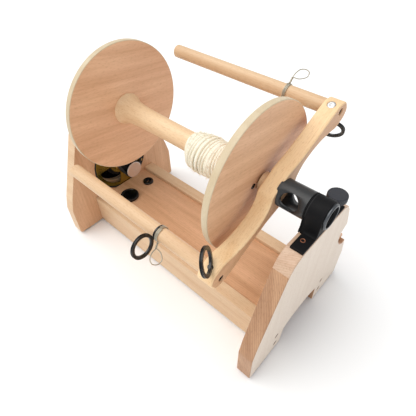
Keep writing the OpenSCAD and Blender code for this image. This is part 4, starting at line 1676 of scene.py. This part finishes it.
@dataclass
class Bobbin(SubAssembly):
    """Discs, core, whorl and the yarn on the core."""

    bush_r: float = 8.1
    screw_spots: Outline = ((-16.4, 0.8), (16.4, -0.8))
    screw: Outline = ((0, 1.8), (1.3, 1.8), (1.3, 0.2), (3.85, 0.2), (3.85, 3.2), (0, 3.2))
    whorl_back: float = BELT_Y + 6.4
    heap: Outline = (
        (16, 52), (20.5, 56), (24, 66), (25.2, 84), (24.5, 100), (20.5, 111), (16, 116),
    )
    layers: tuple[tuple[float, float, float, float], ...] = (
        (54, 114, 20.6, 19.0), (112, 57, 23.4, 17.0), (61, 108, 25.9, 13.0),
    )
    heap_drop: float = 4.6
    strand: float = 1.75
    fibres: int = 2400
    fibre_width: float = 0.16

    def build(self) -> None:
        """Makes everything that turns with the bobbin."""
        self._core()
        self._disc("disc_front", 0.0)
        self._disc("disc_rear", REAR_DISC)
        self._screws()
        self._whorl()
        self._yarn()

    @staticmethod
    def _core_radius(depth: float) -> float:
        """The core's radius at a depth from its nearer disc: flared, with a small bead."""
        bead = 1.6 * max(0.0, 1 - depth / 2.5) ** 2
        return 14.6 + 8 * math.exp(-depth / 10) + 3.4 * math.exp(-depth / 50) - bead

    def _core(self) -> None:
        """The turned core, the same from both ends."""
        span = REAR_DISC - DISC_T
        steps = [span / 2 * (k / 40) ** 2.2 for k in range(41)]
        front = [(self._core_radius(d) - 0.05, DISC_T + d) for d in steps]
        back = [(r, 2 * DISC_T + span - y) for r, y in reversed(front)]
        solid = Solid("bobbin_core_wood", ON_SPINDLE)
        solid.lathe([(self.bush_r, DISC_T), *front, *back[1:], (self.bush_r, REAR_DISC)], 96)
        self.dress(solid, Body.BOBBIN, "pale_wood", [Finish.CORE], "bobbin_core")

    def _disc(self, name: str, y: float) -> None:
        """One of the two discs.

        Args:
            name: its CAD node.
            y: its front.
        """
        solid = Solid(name + "_ply", ON_SPINDLE)
        holes = [circle(self.bush_r, steps=48)]
        holes += [circle(3.9, spot, 32) for spot in self.screw_spots]
        solid.plate(circle(DISC_R, steps=192), y, y + DISC_T, holes, 0.9, faces_finish=1)
        self.dress(solid, Body.BOBBIN, "disc_ply", [Finish.RIM, Finish.DISC], name)

    def _screws(self) -> None:
        """The black screws in both discs."""
        solid = Solid("disc_screw_heads", ON_SPINDLE)
        head = soft_profile(self.screw, 0.2)
        for x, z in self.screw_spots:
            spot = Matrix.Translation((x, 0, z))
            behind = Matrix.Translation((0, WHORL_Y, 0)) @ Matrix.Rotation(math.pi, 4, "X")
            solid.lathe(head, 32, spot)
            solid.lathe(head, 32, spot @ behind)
        self.dress(solid, Body.BOBBIN, "black_screw", [Finish.GLOSS], "disc_screws")

    def _whorl(self) -> None:
        """The belt wheel behind the rear disc."""
        solid = Solid("whorl_ply", ON_SPINDLE)
        floor = WHORL_R - GROOVE_DEPTH
        section = [
            (8.5, WHORL_Y + 0.02), (WHORL_R, WHORL_Y + 0.02), (WHORL_R, BELT_Y - 4.4),
            (floor, BELT_Y - GROOVE_HALF), (floor, BELT_Y + GROOVE_HALF), (WHORL_R, BELT_Y + 4.4),
            (WHORL_R, self.whorl_back), (8.5, self.whorl_back),
        ]
        solid.lathe(
            soft_profile(section, 0.8),
            128,
            finish_by=lambda c: 0 if math.hypot(c.x, c.z) > WHORL_R - 5 else 1,
        )
        self.dress(solid, Body.BOBBIN, "disc_ply", [Finish.RIM, Finish.DISC], "whorl")

    def _yarn(self) -> None:
        """Loose wraps in three layers, sagging below the core, with stray fibres."""
        rng = random.Random(7)
        solid = Solid("yarn_wraps", ON_SPINDLE)
        solid.lathe(self.heap, 64, Matrix.Translation((0, 0, -self.heap_drop)))
        surface: list[Vector] = []
        for layer, (y0, y1, base, turns) in enumerate(self.layers):
            steps = 40
            count = int(turns * steps)
            path, radii = [], []
            for k in range(count + 1):
                t = k / count
                a = math.tau * k / steps + layer
                wander = noise.noise(Vector((k / 26, layer * 3.1, 0.5)))
                swell = 1 - 0.17 * (2 * t - 1) ** 4
                r = base * swell + 2.0 * wander
                sag = -2.2 - (base - 17.5) * 0.5
                y = y0 + (y1 - y0) * t + 2.2 * math.sin(a + layer * 2) + 2.4 * wander
                path.append(Vector((r * math.cos(a), y, sag + r * math.sin(a))))
                radii.append(self.strand + 0.5 * noise.noise(Vector((k / 7, layer, 4.0))))
            solid.tube(path, radii, 10)
            surface += path
        for _ in range(self.fibres):
            root = rng.choice(surface)
            out = Vector((root.x, 0, root.z)).normalized()
            drift = Vector([rng.uniform(-1, 1) for _ in range(3)])
            reach = rng.uniform(1.0, 3.4)
            bend = (out * 0.7 + drift) * reach
            fibre = [root + out * (1 + t) + bend * t for t in (0, 0.5, 1)]
            solid.hair(fibre, self.fibre_width)
        self.dress(solid, Body.BOBBIN, "yarn", [Finish.YARN], "yarn", sharp=60)


@dataclass
class Drive(SubAssembly):
    """Belt, motor dish, pulley, motor, its cover and the rear bracket."""

    belt_depth: float = 1.6
    dish_y: float = BACK_Y + 1
    window_starts: Radii = (-175, -55, 62)
    window_sweep: float = 72.0
    window_outer: float = 47.0
    window_inner: float = 24.0
    dish_screws: tuple[tuple[float, float, float, float], ...] = (
        (50.5, 27.6, 3.2, -2.4), (50.5, -152.4, 3.2, -2.4), (14, -30, 2.7, -4.3),
        (14, 150, 2.7, -4.3),
    )
    can: Outline = (
        (3.7, -4), (9, -4), (9, 0), (30, 0), (30, 42), (27.5, 42), (27.5, 3), (3.7, 3),
    )
    cap: Outline = (
        (0, 0.5), (2.2, 0.5), (2.4, 0), (14.6, 0), (15.6, 0.8), (15.6, 1.85), (0, 1.85),
    )
    cover_y: float = BACK_Y + BOARD_T + 0.05
    cover_r: float = 48.0
    cover_depth: float = 37.9
    ear_angles: Radii = (-90, -200, -340)
    bracket: Outline = ((16.9, 240), (17.0, 221.5), (33.9, 221), (33.9, 216.1))
    bracket_r: Radii = (0, 3, 1, 0)

    def build(self) -> None:
        """Makes the drive."""
        self._belt()
        self._dish()
        self._gasket()
        self._dish_screws()
        self._motor()
        self._pulley()
        self._cover()
        self._bracket()

    def _belt(self) -> None:
        """The round belt, a loop about whorl and pulley."""
        big, small = WHORL_R - self.belt_depth, PULLEY_R - self.belt_depth
        tilt = math.asin((big - small) / (SPINDLE_Z - MOTOR_Z))
        path = []
        for radius, z, start, sweep, steps in (
            (big, SPINDLE_Z, -tilt, math.pi + 2 * tilt, 72),
            (small, MOTOR_Z, math.pi + tilt, math.pi - 2 * tilt, 32),
        ):
            for k in range(steps + 1):
                a = start + sweep * k / steps
                path.append(Vector((radius * math.cos(a), BELT_Y, z + radius * math.sin(a))))
        solid = Solid("drive_belt")
        solid.tube(path, BELT_R - 0.03, 16, closed=True)
        self.dress(solid, Body.STAND, "belt", [Finish.RUBBER], "belt")

    def _dish(self) -> None:
        """The pressed motor dish, with three windows, a rim and a boss."""
        solid = Solid("motor_dish", ON_MOTOR)
        y = self.dish_y
        holes = [circle(9.6, steps=48)]
        for start in self.window_starts:
            arc = [math.radians(start + self.window_sweep * k / 14) for k in range(15)]
            window = []
            for radius, run in ((self.window_outer, arc), (self.window_inner, arc[::-1])):
                window += [(radius * math.cos(a), radius * math.sin(a)) for a in run]
            holes.append(rounded(window, [2.5, *[0] * 13, 2.5, 1.8, *[0] * 13, 1.8], 4))
        solid.plate(circle(PLATE_R - 0.6, steps=128), y, y + 1.4, holes, 0.35, 2)
        solid.lathe(soft_profile(band(PLATE_R - 1.5, PLATE_R, y + 0.2, y + 9.7), 0.3), 128)
        solid.lathe(soft_profile(band(9.6, 19, y - 2.4, y + 0.3), 0.8), 96)
        self.dress(solid, Body.STAND, "zinc", [Finish.ZINC], "motor_plate")

    def _gasket(self) -> None:
        """The rubber ring round the dish."""
        solid = Solid("dish_gasket", ON_MOTOR)
        ring = band(PLATE_R + 0.1, PLATE_R + 2.9, BACK_Y + 0.1, BACK_Y + 10.8)
        solid.lathe(soft_profile(ring, 0.6), 128)
        self.dress(solid, Body.STAND, "rubber", [Finish.RUBBER], "plate_gasket")

    def _dish_screws(self) -> None:
        """The dish's brass screws: two in its rim, two in its boss."""
        solid = Solid("dish_screw_heads", ON_MOTOR)
        for radius, angle, size, rise in self.dish_screws:
            turn = Matrix.Rotation(math.radians(angle), 4, "Y")
            head = [
                (0, 1.2), (size * 0.45, 1.2), (size * 0.5, 0.1), (size, 0.5), (size, 1.75),
                (0, 1.75),
            ]
            head = soft_profile(shifted(head, self.dish_y + rise), 0.2)
            solid.lathe(head, 32, turn @ Matrix.Translation((radius, 0, 0)))
        self.dress(solid, Body.STAND, "brass", [Finish.BRASS], "plate_screws")

    def _motor(self) -> None:
        """The motor's can."""
        solid = Solid("motor_can_shell", ON_MOTOR)
        solid.lathe(soft_profile(shifted(self.can, BACK_Y + 3), 0.7), 96)
        self.dress(solid, Body.STAND, "motor_black", [Finish.BLACK], "motor_can")

    def _pulley(self) -> None:
        """The motor's pulley and the bright cap on it."""
        solid = Solid("motor_pulley_hub", ON_MOTOR)
        floor = PULLEY_R - GROOVE_DEPTH
        section = [
            (3.6, BELT_Y - 4.8), (PULLEY_R, BELT_Y - 4.8), (PULLEY_R, BELT_Y - 4.1),
            (floor, BELT_Y - GROOVE_HALF), (floor, BELT_Y + GROOVE_HALF), (PULLEY_R, BELT_Y + 4.1),
            (PULLEY_R, BELT_Y + 20), (10, BELT_Y + 22), (10, BACK_Y - 2.6), (3.6, BACK_Y - 2.6),
        ]
        solid.lathe(soft_profile(section, 0.25), 96)
        self.dress(solid, Body.ROTOR, "black_plastic", [Finish.BLACK], "motor_pulley")
        cap = Solid("pulley_cap_face", ON_MOTOR)
        cap.lathe(soft_profile(shifted(self.cap, BELT_Y - 6.7), 0.25), 96)
        self.dress(cap, Body.ROTOR, "pulley_face", [Finish.PULLEY_FACE], "pulley_cap")

    def _cover(self) -> None:
        """The cover behind the motor, with vents and three ears."""
        solid = Solid("rear_cover_shell", ON_MOTOR)
        y, back = self.cover_y, self.cover_y + self.cover_depth
        vents = []
        for x in range(-27, 28, 9):
            slot = [(x - 1.5, -22), (x + 1.5, -22), (x + 1.5, 22), (x - 1.5, 22)]
            vents.append(rounded(slot, [1.4] * 4, 3))
        solid.plate(circle(self.cover_r - 0.6, steps=128), back - 2.3, back, vents, 0.5, 2)
        solid.lathe(soft_profile(band(self.cover_r - 2.4, self.cover_r, y, back), 0.9), 128)
        tip = [math.radians(d) for d in range(-80, 81, 16)]
        ear = [(54 + 7 * math.cos(a), 7 * math.sin(a)) for a in tip]
        ear = [(45, -7), (54, -7), *ear, (54, 7), (45, 7)]
        for angle in self.ear_angles:
            turn = Matrix.Rotation(math.radians(angle), 4, "Y")
            solid.plate(ear, y, y + 3, [circle(1.7, (54, 0), 20)], 0.5, 2, place=turn)
        self.dress(solid, Body.STAND, "black_plastic", [Finish.BLACK], "rear_cover")

    def _bracket(self) -> None:
        """The bracket of the rear bearing."""
        solid = Solid("rear_bracket_block")
        outline = saddle(self.bracket, self.bracket_r, 17, 32, 4)
        bore = circle(11.05, (0, SPINDLE_Z), 64)
        solid.plate(outline, BACK_Y + 1, BACK_Y + BOARD_T - 1, [bore], 0.6)
        self.dress(solid, Body.STAND, "black_plastic", [Finish.BLACK], "rear_bracket")


@dataclass
class Controls(SubAssembly):
    """The speed knob and the power inlet on the floor panel."""

    grip_r: float = 16.85
    flute: float = 0.3
    flutes: int = 40
    grip_low: float = 55.6
    grip_high: float = 61.2
    cap: Outline = (
        (0, 60.4), (15, 60.4), (15, 61.6), (13.6, 61.7), (12.8, 61.1), (0, 61.1),
    )
    nut: Outline = ((6.05, 55.05), (10.2, 55.05), (10.2, 57.7), (8.9, 59), (6.05, 59))

    def build(self) -> None:
        """Makes the two things on the floor panel."""
        knob = Solid("speed_knob_cap", Matrix.Translation((*SPEED_AT, 0)))
        grip = fluted(self.grip_r, self.flute, self.flutes, 240)
        knob.plate(grip, self.grip_low, self.grip_high, [], 0.8, place=UPRIGHT)
        knob.lathe(soft_profile(self.cap, 0.2), 96, UPRIGHT)
        self.dress(knob, Body.SPEED, "gloss_black", [Finish.GLOSS], "speed_knob")
        nut = Solid("inlet_nut_ring", Matrix.Translation((*INLET_AT, 0)))
        nut.lathe(soft_profile(self.nut, 0.3), 64, UPRIGHT)
        self.dress(nut, Body.STAND, "gloss_black", [Finish.GLOSS], "inlet_nut")


# ---------------------------------------------------------------------------------- studio


@dataclass
class Studio:
    """Camera, floor and light, as in the photograph."""

    lens: float = 31.047
    eye: Triple = (-285.27, -176.12, 531.85)
    azimuth: float = -46.8846
    elevation: float = 45.8337
    roll: float = -1.4682
    sky: tuple[float, float, float, float] = (0.96, 0.98, 1.0, 1)
    sky_strength: float = 0.74
    sun_power: float = 1.95
    sun_spread: float = 60.0
    sun_colour: Triple = (1.0, 0.985, 0.96)
    sun_turn: Triple = (-24, -16, 0)
    floor_half: float = 6.0
    floor_shade: float = 0.95

    def build(self) -> None:
        """Makes the camera, the lights and the floor."""
        self._camera()
        self._sky()
        self._sun()
        self._floor()

    def _camera(self) -> None:
        """The camera, where it was fitted to the photograph."""
        az, el, roll = (math.radians(v) for v in (self.azimuth, self.elevation, self.roll))
        back = Vector((math.sin(az) * math.cos(el), -math.cos(az) * math.cos(el), math.sin(el)))
        level = Vector((math.cos(az), math.sin(az), 0))
        rise = back.cross(level)
        right = math.cos(roll) * level + math.sin(roll) * rise
        up = -math.sin(roll) * level + math.cos(roll) * rise
        data = bpy.data.cameras.new("camera")
        data.lens, data.sensor_width = self.lens, 36.0
        camera = bpy.data.objects.new("camera", data)
        bpy.context.scene.collection.objects.link(camera)
        turn = Matrix((right, up, back)).transposed().to_4x4()
        eye = Vector(self.eye) - Vector((CENTRE_X, CENTRE_Y, 0))
        camera.matrix_world = Matrix.Translation(eye / 1000) @ turn
        data.clip_start, data.clip_end = 0.01, 50
        bpy.context.scene.camera = camera
        log.info("camera at %s", [round(v, 4) for v in camera.location])

    def _sky(self) -> None:
        """A soft sky that the camera itself sees as white."""
        scene = bpy.context.scene
        scene.view_settings.view_transform = "Standard"
        world = bpy.data.worlds.new("studio")
        scene.world = world
        world.use_nodes = True
        tree = world.node_tree
        tree.nodes.clear()
        link = tree.links.new
        rays = add_node(tree, "ShaderNodeLightPath")
        soft, white = (
            add_node(tree, "ShaderNodeBackground", inputs={"Color": colour, "Strength": strength})
            for colour, strength in ((self.sky, self.sky_strength), ((1, 1, 1, 1), 1.0))
        )
        mix = add_node(tree, "ShaderNodeMixShader")
        out = add_node(tree, "ShaderNodeOutputWorld")
        link(rays.outputs["Is Camera Ray"], mix.inputs[0])
        link(soft.outputs[0], mix.inputs[1])
        link(white.outputs[0], mix.inputs[2])
        link(mix.outputs[0], out.inputs["Surface"])

    def _sun(self) -> None:
        """One wide, soft lamp from above the left front."""
        data = bpy.data.lights.new("key", "SUN")
        data.energy, data.angle = self.sun_power, math.radians(self.sun_spread)
        data.color = self.sun_colour
        lamp = bpy.data.objects.new("key", data)
        lamp.rotation_euler = [math.radians(a) for a in self.sun_turn]
        bpy.context.scene.collection.objects.link(lamp)

    def _floor(self) -> None:
        """The plain pale floor."""
        bm = bmesh.new()
        bmesh.ops.create_grid(bm, x_segments=1, y_segments=1, size=self.floor_half)
        mesh = bpy.data.meshes.new("floor")
        bm.to_mesh(mesh)
        bm.free()
        floor = bpy.data.objects.new("floor", mesh)
        bpy.context.scene.collection.objects.link(floor)
        material = bpy.data.materials.new("floor")
        material.use_nodes = True
        shader = material.node_tree.nodes["Principled BSDF"]
        shader.inputs["Base Color"].default_value = (*[self.floor_shade] * 3, 1)
        shader.inputs["Roughness"].default_value = 0.9
        shader.inputs["Specular IOR Level"].default_value = 0.0
        mesh.materials.append(material)


def paint_cad(frame: dict, palette: Palette) -> None:
    """Gives every CAD node a finish from its slot in the record.

    Args:
        palette: where the materials come from.
    """
    slots = {s["node"]: s["material_slot"] for s in frame["record"]["subparts"]}
    for name, node in frame["nodes"].items():
        node.data.materials.clear()
        node.data.materials.append(palette[SLOT_FINISH[slots[name]]])


def main() -> None:
    """Builds the scene: the studio, then every sub-assembly in order."""
    logging.basicConfig(level=logging.INFO, format="%(message)s")
    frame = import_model()
    Studio().build()
    log.info("cords: none")
    palette = Palette()
    paint_cad(frame, palette)
    for part in (Stand, FrontBearing, Flyer, Hooks, Bobbin, Drive, Controls):
        part(palette).build()


if __name__ == "__main__":
    main()
